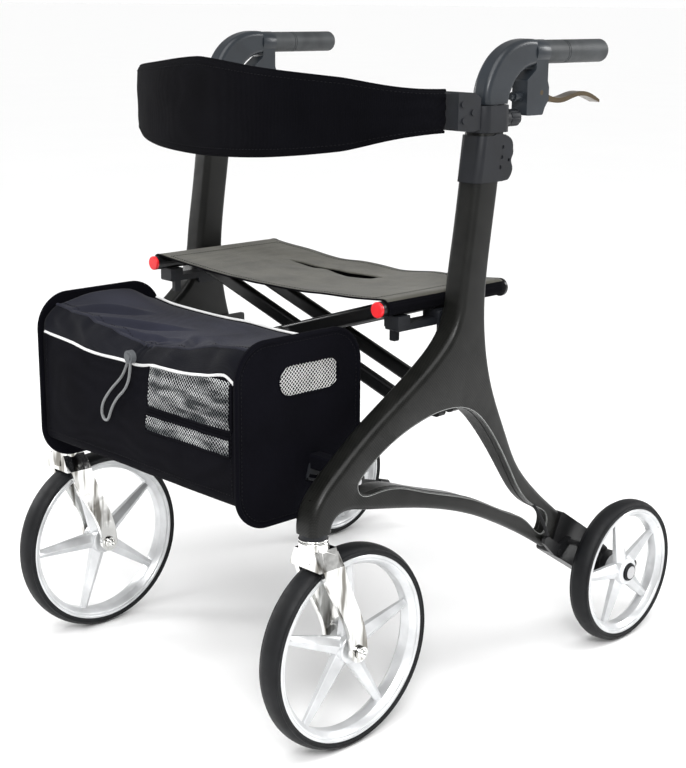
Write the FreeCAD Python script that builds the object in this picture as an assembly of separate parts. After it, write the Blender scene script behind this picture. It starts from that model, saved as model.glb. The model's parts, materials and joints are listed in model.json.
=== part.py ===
import FreeCAD, Part
import math
import os

# Rollator walker, millimetres. +Z is up, -Y is the way it rolls, and +X is the user's left.
# The origin is on the floor, under the middle of the whole walker.

V = FreeCAD.Vector
X, Y, Z = V(1, 0, 0), V(0, 1, 0), V(0, 0, 1)

# Wheels
FRONT_RADIUS, FRONT_WIDTH, FRONT_RIM = 127.0, 31.5, 115.6
REAR_RADIUS, REAR_WIDTH, REAR_RIM = 101.0, 28.6, 89.8
FRONT_AXLE_Y, REAR_AXLE_Y = -238.0, 264.0
STEER_Y = -290.0
REAR_WHEEL_X = 291.8
SPOKES = 5
SPOKE_TURN = {"left_front": -3, "right_front": 90, "left_rear": 12, "right_rear": 50}

# Side frames
FRAME_X = 252.5
COLUMN_HALF, LEG_HALF = 17.0, 9.0
HEAD_BOTTOM, COLUMN_TOP = 283.0, 722.0
EDGE_ROUND = 8.4

# Handles
POST_RADIUS, POST_DEPTH = 12.5, 180.0
POST_FOOT = V(FRAME_X, -13.6, 713.0)
POST_UP = V(0, 0.135, 0.991).normalize()
GRIP_Z, GRIP_RADIUS, GRIP_FRONT, GRIP_END = 814.4, 14.4, 91.0, 212.0
LEVER_PIVOT_Y, LEVER_PIVOT_Z = 79.0, 766.0
KNOB_Y, KNOB_Z = 27.0, 737.0

# Folding cross
PIVOT_X, PIVOT_Z, RAIL_Z = 218.0, 380.0, 519.0
RAIL_RADIUS, RAIL_FRONT, RAIL_REAR = 9.6, -154.0, 66.0
BAR_HEIGHT, BAR_WIDTH = 20.0, 12.0
BARS_A, BARS_B = (-80.0, -20.0), (-105.0, 5.0)
PIVOT_ROD, CENTRE_PIN = 5.0, 4.0

# The frame's inner face, and the plane that the folding cross stays inside of
INNER, RAIL_CLEAR = FRAME_X - COLUMN_HALF, PIVOT_X + 13.4

# Rear brake arm and the shoe that it presses on the tyre
ARM_PIVOT_Y, ARM_PIVOT_Z = 150.0, 150.0
SHOE_Y, SHOE_Z, SHOE_RADIUS = 172.0, 160.0, 4.0

# Backrest strap: its ends' place, how far it bows forward, its thickness and its middle height
STRAP_Y, BOW, STRAP, STRAP_Z = -74.0, 174.5, 9.0, 750.0

# Running fits, and the gap kept between pieces that move past each other
FIT, GAP = 0.05, 0.3

# Bag
BAG_X, PANEL = 197.0, 4.0
BAG_FRONT, BAG_REAR, BAG_LOW, BAG_TOP = -359.5, -164.0, 281.0, 503.0
BAG_FLOOR = 308.0
CLOTH = 2.5
DRAWCORD = 3.4
LOCK_X, LOCK_Z, LOCK_RADIUS = 3.5, 457.0, 8.0
LOCK_FRONT, LOCK_BACK = -363.2, -356.4

nodes = {}


def box(x0, x1, y0, y1, z0, z1):
    return Part.makeBox(x1 - x0, y1 - y0, z1 - z0, V(x0, y0, z0))


def rod(radius, start, end):
    return Part.makeCylinder(radius, (end - start).Length, start, end - start)


def rod_x(radius, x0, x1, y, z):
    return rod(radius, V(x0, y, z), V(x1, y, z))


def rod_y(radius, x, y0, y1, z):
    return rod(radius, V(x, y0, z), V(x, y1, z))


def smooth(points):
    curve = Part.BSplineCurve()
    curve.interpolate(points)
    return curve.toShape()


def closed(runs, place):
    """Closed wire from runs of 2-D points: a run of two is straight, a longer run is smooth."""
    edges = []
    for run in runs:
        points = [place(*p) for p in run]
        edges.append(Part.makeLine(*points) if len(points) == 2 else smooth(points))
    return Part.Wire(edges)


def slab(runs, x0, x1):
    """Solid with its outline in the YZ plane, from x0 to x1."""
    face = Part.Face(closed(runs, lambda y, z: V(x0, y, z)))
    return face.extrude(V(x1 - x0, 0, 0))


def polygon(points):
    """Straight runs through the points and back to the first."""
    return [(a, b) for a, b in zip(points, points[1:] + points[:1])]


def along(shape, axis):
    """Straight edges that run along an axis."""
    chosen = []
    for edge in shape.Edges:
        if isinstance(edge.Curve, Part.Line) and abs(edge.Curve.Direction.dot(axis)) > 0.999:
            chosen.append(edge)
    return chosen


def rounded_box(x0, x1, y0, y1, z0, z1, axis, radius):
    block = box(x0, x1, y0, y1, z0, z1)
    return block.makeFillet(radius, along(block, axis))


def turned(runs, centre, axis):
    """Ring turned about an X axis, from a closed outline of (x offset, radius) points."""
    wire = closed(runs, lambda x, r: centre + V(x, 0, r))
    return Part.Face(wire).revolve(centre, axis, 360)


def mirrored(shape):
    return shape.mirror(V(0, 0, 0), X)


def pair(name, shape):
    """Adds a left piece and its mirror image on the right."""
    nodes["left_" + name] = shape
    nodes["right_" + name] = mirrored(shape)


# ---- side frame -------------------------------------------------------------------------

def frame_thickness():
    """Plan shape of the side frame: thick at the column, slim at the rear leg."""
    half = [(-330, COLUMN_HALF), (-180, COLUMN_HALF), (-50, COLUMN_HALF), (15, 14.8), (60, 11.4),
            (110, LEG_HALF), (170, LEG_HALF), (240, LEG_HALF)]
    low = HEAD_BOTTOM - 200
    outer = smooth([V(FRAME_X + t, y, low) for y, t in half])
    inner = smooth([V(FRAME_X - t, y, low) for y, t in half])
    ends = []
    for y, t in (half[0], half[-1]):
        ends.append(Part.makeLine(V(FRAME_X - t, y, low), V(FRAME_X + t, y, low)))
    wire = Part.Wire(Part.__sortEdges__([outer, inner] + ends))
    return Part.Face(wire).extrude(V(0, 0, COLUMN_TOP + 50 - low))


def long_edges(shape, flat_ends):
    """Edges on the two side faces, without those that bound a flat end."""
    chosen = []
    for edge in shape.Edges:
        points = edge.discretize(7)
        xs = [abs(p.x - FRAME_X) for p in points]
        on_side = min(xs) > LEG_HALF - 0.5
        on_end = any(all(abs(end(p)) < 0.05 for p in points) for end in flat_ends)
        if on_side and not on_end:
            chosen.append(edge)
    return chosen


def side_frame():
    front = [(-34, 722), (-42, 665), (-52, 595), (-59.5, 545), (-64, 513), (-77, 484), (-103, 459),
             (-155, 425), (-215, 388.5), (-266, 351), (-294, 325), (-305, 303), (-306.5, HEAD_BOTTOM)]
    brace_low = [(-273.5, HEAD_BOTTOM), (-270, 294), (-256, 301), (-226, 298), (-176, 287.5),
                 (-124, 276), (-69, 260), (-30, 245.5), (26, 219.5), (68, 197), (130, 159)]
    rear = [(172, 194), (132, 226), (93, 260.5), (62, 295), (33.5, 345), (15, 381), (0, 417),
            (-11, 460), (-16, 520), (-12, 570), (-4, 625), (3, 672), (9.5, 722)]
    outline = [front, (front[-1], brace_low[0]), brace_low, (brace_low[-1], rear[0]), rear,
               (rear[-1], front[0])]
    reach = COLUMN_HALF + 10
    body = slab(outline, FRAME_X - reach, FRAME_X + reach).common(frame_thickness())
    cut_y, cut_z = rear[0][0] - brace_low[-1][0], rear[0][1] - brace_low[-1][1]
    ends = [
        lambda p: p.z - COLUMN_TOP,
        lambda p: p.z - HEAD_BOTTOM,
        lambda p: ((p.y - rear[0][0]) * cut_z - (p.z - rear[0][1]) * cut_y) / math.hypot(cut_y, cut_z),
    ]
    body = body.makeFillet(EDGE_ROUND, long_edges(body, ends))
    arch = [(-233, 335), (-206, 356.5), (-154, 381.5), (-93, 394), (-42, 386), (-2, 352), (46, 286),
            (102, 225)]
    brace_top = [(131, 199), (126, 184), (90, 205), (48, 229), (-30, 267), (-123, 298.5),
                 (-200, 316), (-233, 323)]
    loop = Part.BSplineCurve()
    reach_in = FRAME_X - reach
    loop.interpolate([V(reach_in, y, z) for y, z in arch + brace_top], PeriodicFlag=True)
    window = Part.Face(Part.Wire(loop.toShape())).extrude(V(2 * reach, 0, 0))
    body = body.cut(window)
    bore = rod(POST_RADIUS + FIT, post_point(COLUMN_TOP + 20), post_point(COLUMN_TOP - POST_DEPTH))
    stem = rod(6 + FIT, V(FRAME_X, STEER_Y, HEAD_BOTTOM - 5), V(FRAME_X, STEER_Y, HEAD_BOTTOM + 40))
    return body.cut(bore).cut(stem)


def post_point(z):
    """Point on the handle post's axis at a height."""
    return POST_FOOT + POST_UP * ((z - POST_FOOT.z) / POST_UP.z)


def column_cap(frame):
    """Moulded cap over the column's top, with a flat wing that reaches rearward on the outside."""
    sleeve = slab(polygon([(-43.8, 664), (-36.4, 719), (12, 719), (4.5, 664)]),
                  FRAME_X - 18.4, FRAME_X + 18.4)
    front_corners = [e for e in along(sleeve, V(0, 7.4, 55).normalize())]
    sleeve = sleeve.makeFillet(9, front_corners)
    wing = slab([[(-30, 668), (-28, 700), (-16, 719), (6, 719), (16, 714), (20, 702)],
                 [(20, 702), (19, 693), (17, 688), (19.5, 681), (17.5, 671), (11, 665)],
                 ((11, 665), (0, 664)), ((0, 664), (-30, 668))],
                FRAME_X + 10, FRAME_X + 18.4)
    cap = sleeve.fuse(wing).removeSplitter()
    for y, z in ((1, 705), (-0.5, 693), (-3, 681)):
        cap = cap.cut(rod_x(2.4, FRAME_X + 17.2, FRAME_X + 25, y, z))
    slot = rod_x(2, FRAME_X + 15, FRAME_X + 25, 12.5, 689)
    column = frame.fuse(rod(POST_RADIUS + 1, post_point(650), post_point(730)))
    return cap.cut(slot).cut(column)


def clamp_collar():
    """Collar that holds the handle post at the height set, with a boss for its clamp screw."""
    low, high = COLUMN_TOP + GAP, 754.0
    collar = rounded_box(FRAME_X - 18, FRAME_X + 18, -34, 18, low, high, Z, 13)
    collar = collar.fuse(rod_y(10, FRAME_X, 8, KNOB_Y - GAP, KNOB_Z)).removeSplitter()
    collar = collar.cut(rod_y(3 + FIT, FRAME_X, 8, KNOB_Y + 5, KNOB_Z))
    return collar.cut(rod(POST_RADIUS + FIT, post_point(700), post_point(780)))


def clamp_knob():
    """Fluted hand knob with the screw that clamps the handle post."""
    knob = rod_y(10.5, FRAME_X, KNOB_Y, KNOB_Y + 18, KNOB_Z)
    knob = knob.makeChamfer(1.5, [e for e in knob.Edges if abs(e.CenterOfMass.y - KNOB_Y - 18) < 0.1])
    for k in range(8):
        turn = math.radians(45 * k)
        x, z = FRAME_X + 11.4 * math.cos(turn), KNOB_Z + 11.4 * math.sin(turn)
        knob = knob.cut(rod_y(1.9, x, KNOB_Y - 1, KNOB_Y + 19, z))
    return knob.fuse(rod_y(3, FRAME_X, 10, KNOB_Y + 1, KNOB_Z)).removeSplitter()


def backrest_bracket():
    """Block on the collar's front that holds the end of the backrest strap."""
    outline = [(STRAP_Y + 0.2, 727), (-60, 725.5), (-44, 725), (-34.2, 727), (-34.2, 764), (-46, 770),
               (STRAP_Y + 0.2, 772)]
    block = slab(polygon(outline), FRAME_X - 12, FRAME_X + 12)
    block = block.makeFillet(3, along(block, X))
    for y, z in ((-66, 757), (-64, 738), (-48, 747)):
        block = block.fuse(rod_x(3.6, FRAME_X, FRAME_X + 13.6, y, z))
    return block.removeSplitter()


# ---- handle -----------------------------------------------------------------------------

def handle_post():
    outer = [(-24, 755), (-24, 770), (-17, 789), (-4, 807), (17, 822), (42, 829.5), (66, 830)]
    inner = [(66, 798.5), (50, 795), (34, 785), (23, 770), (18, 755)]
    elbow = slab([outer, (outer[-1], inner[0]), inner, (inner[-1], outer[0])],
                 FRAME_X - 13, FRAME_X + 13)
    sides = []
    for edge in elbow.Edges:
        points = edge.discretize(5)
        flat = max(abs(abs(p.x - FRAME_X) - 13) for p in points) < 0.01
        at_base = all(abs(p.z - 755) < 0.01 for p in points)
        at_grip = all(abs(p.y - 66) < 0.01 for p in points)
        if flat and not at_base and not at_grip:
            sides.append(edge)
    elbow = elbow.makeFillet(7, sides)
    post = rod(POST_RADIUS, post_point(COLUMN_TOP - POST_DEPTH + 4), post_point(762))
    bar = rod_y(11, FRAME_X, 60, GRIP_END - 6, GRIP_Z)
    return elbow.fuse(post).fuse(bar).removeSplitter()


def handle_grip():
    grip = rod_y(GRIP_RADIUS, FRAME_X, GRIP_FRONT, GRIP_END, GRIP_Z)
    grip = grip.makeFillet(6, [e for e in grip.Edges if abs(e.CenterOfMass.y - GRIP_END) < 0.1])
    for y in (128.0, 131.5):
        ring = rod_y(GRIP_RADIUS + 2, FRAME_X, y - 0.6, y + 0.6, GRIP_Z)
        grip = grip.cut(ring.cut(rod_y(GRIP_RADIUS - 0.5, FRAME_X, y - 1, y + 1, GRIP_Z)))
    return grip.cut(rod_y(11, FRAME_X, GRIP_FRONT - 1, GRIP_END - 6, GRIP_Z))


def brake_housing():
    ring = rod_y(15.0, FRAME_X, 66.2, GRIP_FRONT, GRIP_Z)
    outline = [(51, 739), (82, 739), (86, 748), (93, 757), (93, 772), (90, 780), (90, 808),
               (67, 808), (67, 794), (51, 782)]
    shell = slab(polygon(outline), FRAME_X - 12, FRAME_X + 12)
    shell = shell.makeFillet(3, along(shell, X))
    shell = shell.fuse(ring).removeSplitter()
    slot = slab(polygon([(70, 752), (105, 740), (105, 784), (78, 784), (70, 777)]),
                FRAME_X - 5, FRAME_X + 5)
    shell = shell.cut(slot).cut(rod_x(3 + FIT, FRAME_X - 20, FRAME_X + 20, LEVER_PIVOT_Y, LEVER_PIVOT_Z))
    shell = shell.cut(handle_post())
    nut = rod_y(6, FRAME_X, 38, 54, 762)
    barrel = rod_y(3.6, FRAME_X, 32, 39, 762)
    return shell.fuse(nut).fuse(barrel).removeSplitter()


def brake_lever():
    """Curved blade on a cross pin, as wide as a finger at its tip."""
    top = [(86, 769), (106, 760), (128, 758.5), (150, 763), (170, 764.5), (188, 760), (203, 753)]
    low = [(203, 749.5), (187, 755), (170, 759), (150, 757.5), (128, 752.5), (106, 753), (86, 758)]
    blade = slab([top, (top[-1], low[0]), low, (low[-1], top[0])], FRAME_X - 8, FRAME_X + 8)
    root = slab(polygon([(76, 762), (96, 755), (96, 768), (76, 770)]), FRAME_X - 4.6, FRAME_X + 4.6)
    eye = rod_x(6, FRAME_X - 4.6, FRAME_X + 4.6, LEVER_PIVOT_Y, LEVER_PIVOT_Z)
    trim = box(FRAME_X - 20, FRAME_X + 20, 60, 98, 700, 800)
    pin = rod_x(3, FRAME_X - 12, FRAME_X + 12, LEVER_PIVOT_Y, LEVER_PIVOT_Z)
    neck = blade.common(box(FRAME_X - 4.6, FRAME_X + 4.6, 84, 112, 700, 800))
    return blade.cut(trim).fuse(neck).fuse(root).fuse(eye).fuse(pin).removeSplitter()


def brake_cable(frame):
    """Brake cable where it shows, from its exit in the rear leg to the brake arm."""
    start, bend, end = V(FRAME_X + 4, 96, 238), V(FRAME_X + 14, 112, 208), V(FRAME_X + 18.5, 122, 181)
    cable = tube([start, bend, end], 2.2).cut(frame)
    return max(cable.Solids, key=lambda solid: solid.Volume)


def tube(points, radius):
    """Round tube along straight runs joined by tangent arcs."""
    edges, bends, last = [], [], points[0]
    for before, corner, after in zip(points, points[1:], points[2:]):
        back, ahead = (before - corner), (after - corner)
        shorter = min(back.Length, ahead.Length)
        back.normalize()
        ahead.normalize()
        setback = 0.45 * shorter
        start, end = corner + back * setback, corner + ahead * setback
        half_turn = (math.pi - back.getAngle(ahead)) / 2
        towards = back + ahead
        towards.normalize()
        bend = setback / math.tan(half_turn)
        bends.append(bend)
        middle = corner + towards * (bend / math.cos(half_turn) - bend)
        edges.append(Part.makeLine(last, start))
        edges.append(Part.Arc(start, middle, end).toShape())
        last = end
    edges.append(Part.makeLine(last, points[-1]))
    path = Part.Wire(edges)
    ring = Part.Wire(Part.makeCircle(radius, points[0], points[1] - points[0]))
    solid = path.makePipeShell([ring], True, False)
    share = solid.Volume / (math.pi * radius ** 2 * path.Length)
    print("tube", round(path.Length, 1), "long, tightest bend", round(min(bends), 1), "volume", round(share, 3))
    return solid


# ---- folding cross ----------------------------------------------------------------------


def rail_saddle(frame):
    """Arm on the frame's inner face with two pads that the seat rail comes down on."""
    arm = rounded_box(209.5, 231.5, -134, -34, 491, 499, X, 3)
    plate = rounded_box(RAIL_CLEAR, INNER, -66, -34, 478, 508, X, 4)
    hook = rounded_box(209.5, 216.5, -126, -116, 476, 493, X, 2)
    saddle = arm.fuse(plate).fuse(hook)
    for y0, y1 in ((-134, -113), (-66, -38)):
        saddle = saddle.fuse(box(208, RAIL_CLEAR, y0, y1, 495, RAIL_Z - RAIL_RADIUS - GAP))
    return saddle.removeSplitter().cut(frame)


def pivot_bracket(frame):
    """Hanger on the frame's inner face with three ears and the rod that the cross bars turn on."""
    hanger = rounded_box(RAIL_CLEAR, INNER, -119, 19, 384, 424, X, 4)
    for y0, y1 in ((-119, -113), (-58, -46), (13, 19)):
        ear = rounded_box(PIVOT_X - 9, RAIL_CLEAR + 1, y0, y1, PIVOT_Z - 9, 412, Y, 6)
        hanger = hanger.fuse(ear)
    hanger = hanger.fuse(rod_y(PIVOT_ROD, PIVOT_X, -121, 21, PIVOT_Z))
    for y0, y1 in ((-123, -119), (19, 23)):
        hanger = hanger.fuse(rod_y(8, PIVOT_X, y0, y1, PIVOT_Z))
    return hanger.removeSplitter().cut(frame)


def cross_bars(places):
    """Pair of flat oval bars from the left lower pivot up to the right seat rail."""
    low, high = V(PIVOT_X, 0, PIVOT_Z), V(-PIVOT_X, 0, RAIL_Z)
    length, run = (high - low).Length, (high - low).normalize()
    tilt = math.degrees(math.atan2(RAIL_Z - PIVOT_Z, 2 * PIVOT_X))
    bars = []
    for y in places:
        half = BAR_WIDTH / 2
        bar = box(-length + 7.5, 0, y - half, y + half, -BAR_HEIGHT / 2, BAR_HEIGHT / 2)
        bar = bar.makeFillet(4.5, along(bar, X))
        bar = bar.cut(box(-9, 20, y - 10, y + 10, -20, 20))
        bar = bar.fuse(rod_y(10.5, 0, y - half, y + half, 0))
        bar = bar.fuse(box(-16, 0, y - half, y + half, -BAR_HEIGHT / 2, BAR_HEIGHT / 2))
        bar = bar.cut(rod_y(PIVOT_ROD + FIT, 0, y - 20, y + 20, 0))
        bar.rotate(V(0, 0, 0), Y, tilt)
        bar.translate(low)
        bar = bar.cut(rod_y(RAIL_RADIUS, -PIVOT_X, y - 20, y + 20, RAIL_Z))
        # Only the piece on the pivot's side of the rail is the bar.
        bar = max(bar.Solids, key=lambda s: s.Volume)
        bars.append(bar)
    return bars


def centre_z():
    return (PIVOT_Z + RAIL_Z) / 2


def centre_pins():
    """Two headed pins through the crossing, with the spacers between the bars."""
    pins = []
    for a, b in zip(BARS_A, BARS_B):
        way = 1 if b > a else -1
        near, far = a - way * (BAR_WIDTH / 2), b + way * (BAR_WIDTH / 2)
        pin = rod_y(CENTRE_PIN, 0, min(near, far) - 1, max(near, far) + 1, centre_z())
        inner, outer = a + way * (BAR_WIDTH / 2), b - way * (BAR_WIDTH / 2 + GAP)
        pin = pin.fuse(rod_y(9, 0, min(inner, outer), max(inner, outer), centre_z()))
        for start in (near - way * 4, far + way * GAP):
            end = start + way * 4 if start != near - way * 4 else near
            pin = pin.fuse(rod_y(8, 0, min(start, end), max(start, end), centre_z()))
        pins.append(pin.removeSplitter())
    return pins


def seat_rail():
    tube_rail = rod_y(RAIL_RADIUS, PIVOT_X, RAIL_FRONT, RAIL_REAR, RAIL_Z)
    bore = rod_y(RAIL_RADIUS - 2, PIVOT_X, RAIL_FRONT - 1, RAIL_REAR + 1, RAIL_Z)
    plug = rod_y(RAIL_RADIUS + 2, PIVOT_X, RAIL_REAR, RAIL_REAR + 6, RAIL_Z)
    plug = plug.makeFillet(3, [e for e in plug.Edges if e.CenterOfMass.y > RAIL_REAR + 5])
    return tube_rail.cut(bore).fuse(plug).removeSplitter()


def rail_cap():
    head = rod_y(RAIL_RADIUS, PIVOT_X, RAIL_FRONT - 4, RAIL_FRONT, RAIL_Z)
    head = head.makeFillet(1.5, [e for e in head.Edges if e.CenterOfMass.y < RAIL_FRONT - 3])
    return head.fuse(rod_y(RAIL_RADIUS - 2, PIVOT_X, RAIL_FRONT - 1, RAIL_FRONT + 14, RAIL_Z))


# ---- rear wheel, axle and brake ---------------------------------------------------------

def rear_bracket(frame):
    """Black block at the foot of the rear leg, with the axle boss and a kerb pedal behind it."""
    outline = [(160, 205), (217, 167), (270, 124), (270, 80), (240, 84), (136, 152)]
    block = slab(polygon(outline), FRAME_X - 12, FRAME_X + 12)
    block = block.makeFillet(5, along(block, X))
    boss = rod_x(22, FRAME_X - 12, FRAME_X + 18, REAR_AXLE_Y, REAR_RADIUS)
    pedal = rod(5, V(FRAME_X, 280, 96), V(FRAME_X, 345, 77))
    pad = rod(8, V(FRAME_X, 330, 81.4), V(FRAME_X, 351, 75.2))
    block = block.fuse(boss).fuse(pedal).fuse(pad).removeSplitter()
    block = block.cut(rod_x(6, 200, 300, REAR_AXLE_Y, REAR_RADIUS))
    block = block.cut(rod_x(4 + FIT, FRAME_X, 300, ARM_PIVOT_Y, ARM_PIVOT_Z))
    return block.cut(frame)


def rear_axle():
    inner = FRAME_X - 12
    axle = rod_x(6, inner, REAR_WHEEL_X + 17, REAR_AXLE_Y, REAR_RADIUS)
    head = rod_x(10, inner - 5, inner, REAR_AXLE_Y, REAR_RADIUS)
    nut = rod_x(9, REAR_WHEEL_X + 15, REAR_WHEEL_X + 19, REAR_AXLE_Y, REAR_RADIUS)
    return axle.fuse(head).fuse(nut).removeSplitter()


def brake_arm():
    """Bell crank outside the bracket: the cable pulls one end, the other presses the tyre."""
    x0, x1 = FRAME_X + 12 + GAP, FRAME_X + 18
    plate = slab(polygon([(118, 178), (126, 178), (152, 160), (174, 167), (178, 158), (170, 154),
                          (152, 140), (140, 147), (117, 170)]), x0, x1)
    plate = plate.makeFillet(2, along(plate, X))
    shoe = rod_x(SHOE_RADIUS, x0, REAR_WHEEL_X - 7, SHOE_Y, SHOE_Z)
    stud = rod_x(4, FRAME_X + 2, x1 + 2, ARM_PIVOT_Y, ARM_PIVOT_Z)
    return plate.fuse(shoe).fuse(stud).removeSplitter()


def wheel(centre, radius, width, rim_radius, bore, hub_half, first_spoke):
    """Rim with tapered ridged spokes, and its solid tyre."""
    half = width / 2
    flange, lip = half - 2.2, 6.5
    dish = 0.5 * flange
    barrel = polygon([(-flange, rim_radius), (flange, rim_radius), (flange, rim_radius - lip),
                      (dish, rim_radius - 12), (-dish, rim_radius - 12), (-flange, rim_radius - lip)])
    rim = turned(barrel, centre, X)
    hub = rod_x(19, centre.x - hub_half, centre.x + hub_half, centre.y, centre.z)
    hub = hub.makeFillet(2, hub.Edges)
    rim = rim.fuse(hub)
    reach = rim_radius - 9
    for k in range(SPOKES):
        spoke = ridged_spoke(centre, 14, reach, hub_half)
        spoke.rotate(centre, X, first_spoke + k * 360.0 / SPOKES)
        rim = rim.fuse(spoke)
    rim = rim.cut(rod_x(bore, centre.x - 50, centre.x + 50, centre.y, centre.z)).removeSplitter()
    side = [(-half + 1.2, rim_radius), (-half, rim_radius + 3.2), (-half * 0.72, radius - 2.4),
            (0, radius), (half * 0.72, radius - 2.4), (half, rim_radius + 3.2),
            (half - 1.2, rim_radius)]
    tyre = turned([side, (side[-1], side[0])], centre, X)
    return rim, tyre


def ridged_spoke(centre, start, end, hub_half):
    """Spoke up the Z axis whose two faces are raised along the middle."""
    sections = []
    for z, wide, thick in ((start, 11.0, hub_half - 3), (end, 5.0, 5.5)):
        points = [(-wide, 0.35), (0, 1), (wide, 0.35), (wide, -0.35), (0, -1), (-wide, -0.35)]
        ring = [centre + V(t * thick, y, z) for y, t in points]
        sections.append(Part.makePolygon(ring + ring[:1]))
    return Part.makeLoft(sections, True, True)


# ---- front wheel and caster -------------------------------------------------------------

def caster_fork():
    """Forged fork: crown under the head, and an arm swept back to the axle on each side."""
    arm_front = [(-300, 268), (-296, 238), (-281, 205), (-265, 176), (-253, 148), (-250, 127)]
    foot = [(-250, 127), (-238, 115), (-226, 127)]
    arm_rear = [(-226, 127), (-229, 152), (-240, 182), (-253, 210), (-264, 240), (-270, 268)]
    outline = [arm_front, foot, arm_rear, (arm_rear[-1], arm_front[0])]
    arm_in, arm_out = FRONT_WIDTH / 2 + 3, FRONT_WIDTH / 2 + 10
    fork = None
    for side in (-1, 1):
        arm = slab(outline, FRAME_X + side * arm_in, FRAME_X + side * arm_out)
        boss = rod_x(13, FRAME_X + side * (arm_in - 1.5), FRAME_X + side * (arm_out + 1),
                     FRONT_AXLE_Y, FRONT_RADIUS)
        arm = arm.fuse(boss)
        fork = arm if fork is None else fork.fuse(arm)
    crown = rod(18, V(FRAME_X, STEER_Y, 250), V(FRAME_X, STEER_Y, 274.5))
    crown = crown.makeFillet(2, [e for e in crown.Edges if abs(e.CenterOfMass.z - 274.5) < 0.1])
    bridge = box(FRAME_X - arm_out, FRAME_X + arm_out, -304, -270, 243, 266)
    shoulder = [(-arm_out, 90), (-arm_out, 243), (-17, 265), (17, 265), (arm_out, 243), (arm_out, 90)]
    front_view = Part.Face(closed(polygon(shoulder), lambda x, z: V(FRAME_X + x, -320, z)))
    shoulders = front_view.extrude(V(0, 120, 0))
    sweep = rod_x(FRONT_RADIUS + 4, FRAME_X - arm_in, FRAME_X + arm_in, FRONT_AXLE_Y, FRONT_RADIUS)
    stem = rod(6, V(FRAME_X, STEER_Y, 265), V(FRAME_X, STEER_Y, HEAD_BOTTOM + 38))
    fork = fork.fuse(bridge).common(shoulders).fuse(crown).cut(sweep).fuse(stem)
    return fork.cut(rod_x(5, FRAME_X - 40, FRAME_X + 40, FRONT_AXLE_Y, FRONT_RADIUS)).removeSplitter()


def head_bearing():
    ring = rod(16.5, V(FRAME_X, STEER_Y, 275), V(FRAME_X, STEER_Y, HEAD_BOTTOM))
    return ring.cut(rod(6 + FIT, V(FRAME_X, STEER_Y, 270), V(FRAME_X, STEER_Y, 290)))


def front_axle():
    reach = FRONT_WIDTH / 2 + 11
    axle = rod_x(5, FRAME_X - reach, FRAME_X + reach, FRONT_AXLE_Y, FRONT_RADIUS)
    for side in (-1, 1):
        axle = axle.fuse(rod_x(8, FRAME_X + side * reach, FRAME_X + side * (reach + 3.5),
                               FRONT_AXLE_Y, FRONT_RADIUS))
    return axle.removeSplitter()


# ---- soft parts -------------------------------------------------------------------------

def seat_fabric():
    """Seat sheet laid over both rails, sagging a little between them."""
    top = RAIL_Z + RAIL_RADIUS + GAP
    half = [(PIVOT_X + 4, top), (PIVOT_X - 8, top - 0.3), (PIVOT_X - 30, top - 3), (0, top - 12)]
    low = [(-x, z) for x, z in half] + half[-2::-1]
    high = [(x, z + 3) for x, z in reversed(low)]
    front, rear = RAIL_FRONT + 7, RAIL_REAR - GAP
    wire = closed([low, (low[-1], high[0]), high, (high[-1], low[0])], lambda x, z: V(x, front, z))
    return Part.Face(wire).extrude(V(0, rear - front, 0))


def backrest_strap():
    """Padded strap bowed forward between the two brackets."""
    end_x, end_y, thick = FRAME_X, STRAP_Y, STRAP
    outer = smooth([V(-end_x, end_y, 0), V(-end_x * 0.86, end_y - BOW * 0.55, 0), V(0, end_y - BOW, 0),
                    V(end_x * 0.86, end_y - BOW * 0.55, 0), V(end_x, end_y, 0)])
    inner = smooth([V(-end_x + thick, end_y, 0), V(-end_x * 0.86 + thick * 0.7, end_y - BOW * 0.5, 0),
                    V(0, end_y - BOW + thick, 0), V(end_x * 0.86 - thick * 0.7, end_y - BOW * 0.5, 0),
                    V(end_x - thick, end_y, 0)])
    ends = [Part.makeLine(V(s * end_x, end_y, 0), V(s * (end_x - thick), end_y, 0)) for s in (-1, 1)]
    plan = Part.Face(Part.Wire(Part.__sortEdges__([outer, inner] + ends)))
    plan.translate(V(0, 0, 650))
    curved = plan.extrude(V(0, 0, 200))
    upper = [(-end_x - 5, 22), (-190, 37), (-100, 46), (0, 56), (100, 46), (190, 37), (end_x + 5, 22)]
    lower = [(end_x + 5, -23), (190, -43), (100, -54), (0, -58), (-100, -54), (-190, -43), (-end_x - 5, -23)]
    wire = closed([upper, (upper[-1], lower[0]), lower, (lower[-1], upper[0])],
                  lambda x, z: V(x, -300, STRAP_Z + z))
    return curved.common(Part.Face(wire).extrude(V(0, 300, 0)))


def bag_panel():
    """Stiff side of the bag, with an oval mesh window, hung from the front leg by a clip."""
    panel = box(BAG_X - PANEL / 2, BAG_X + PANEL / 2, BAG_FRONT, BAG_REAR, BAG_LOW, BAG_TOP)
    panel = panel.makeFillet(46, along(panel, X))
    window = rounded_box(BAG_X - 5, BAG_X + 5, -294, -200, 432, 468, X, 17.9)
    grille = rounded_box(BAG_X - 0.6, BAG_X + 0.6, -294, -200, 432, 468, X, 17.9)
    panel = panel.cut(window).fuse(grille)
    clip = rounded_box(BAG_X + PANEL / 2, INNER, -248, -228, 338, 356, X, 3)
    return panel.fuse(clip).removeSplitter()


def bag_shell():
    """Front, floor and back of the bag between the two side panels."""
    reach = BAG_X - PANEL / 2 - GAP
    front, rear = BAG_FRONT + 6, BAG_REAR - 8
    outline = polygon([(front, 452), (front, 322), (front + 14, BAG_FLOOR), (rear - 14, BAG_FLOOR),
                       (rear, 322), (rear, 478)])
    outer = slab(outline, -reach, reach)
    inset = polygon([(front + CLOTH, 460), (front + CLOTH, 323), (front + 15, BAG_FLOOR + CLOTH),
                     (rear - 15, BAG_FLOOR + CLOTH), (rear - CLOTH, 323), (rear - CLOTH, 490)])
    return outer.cut(slab(inset, -reach - 1, reach + 1))


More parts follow.
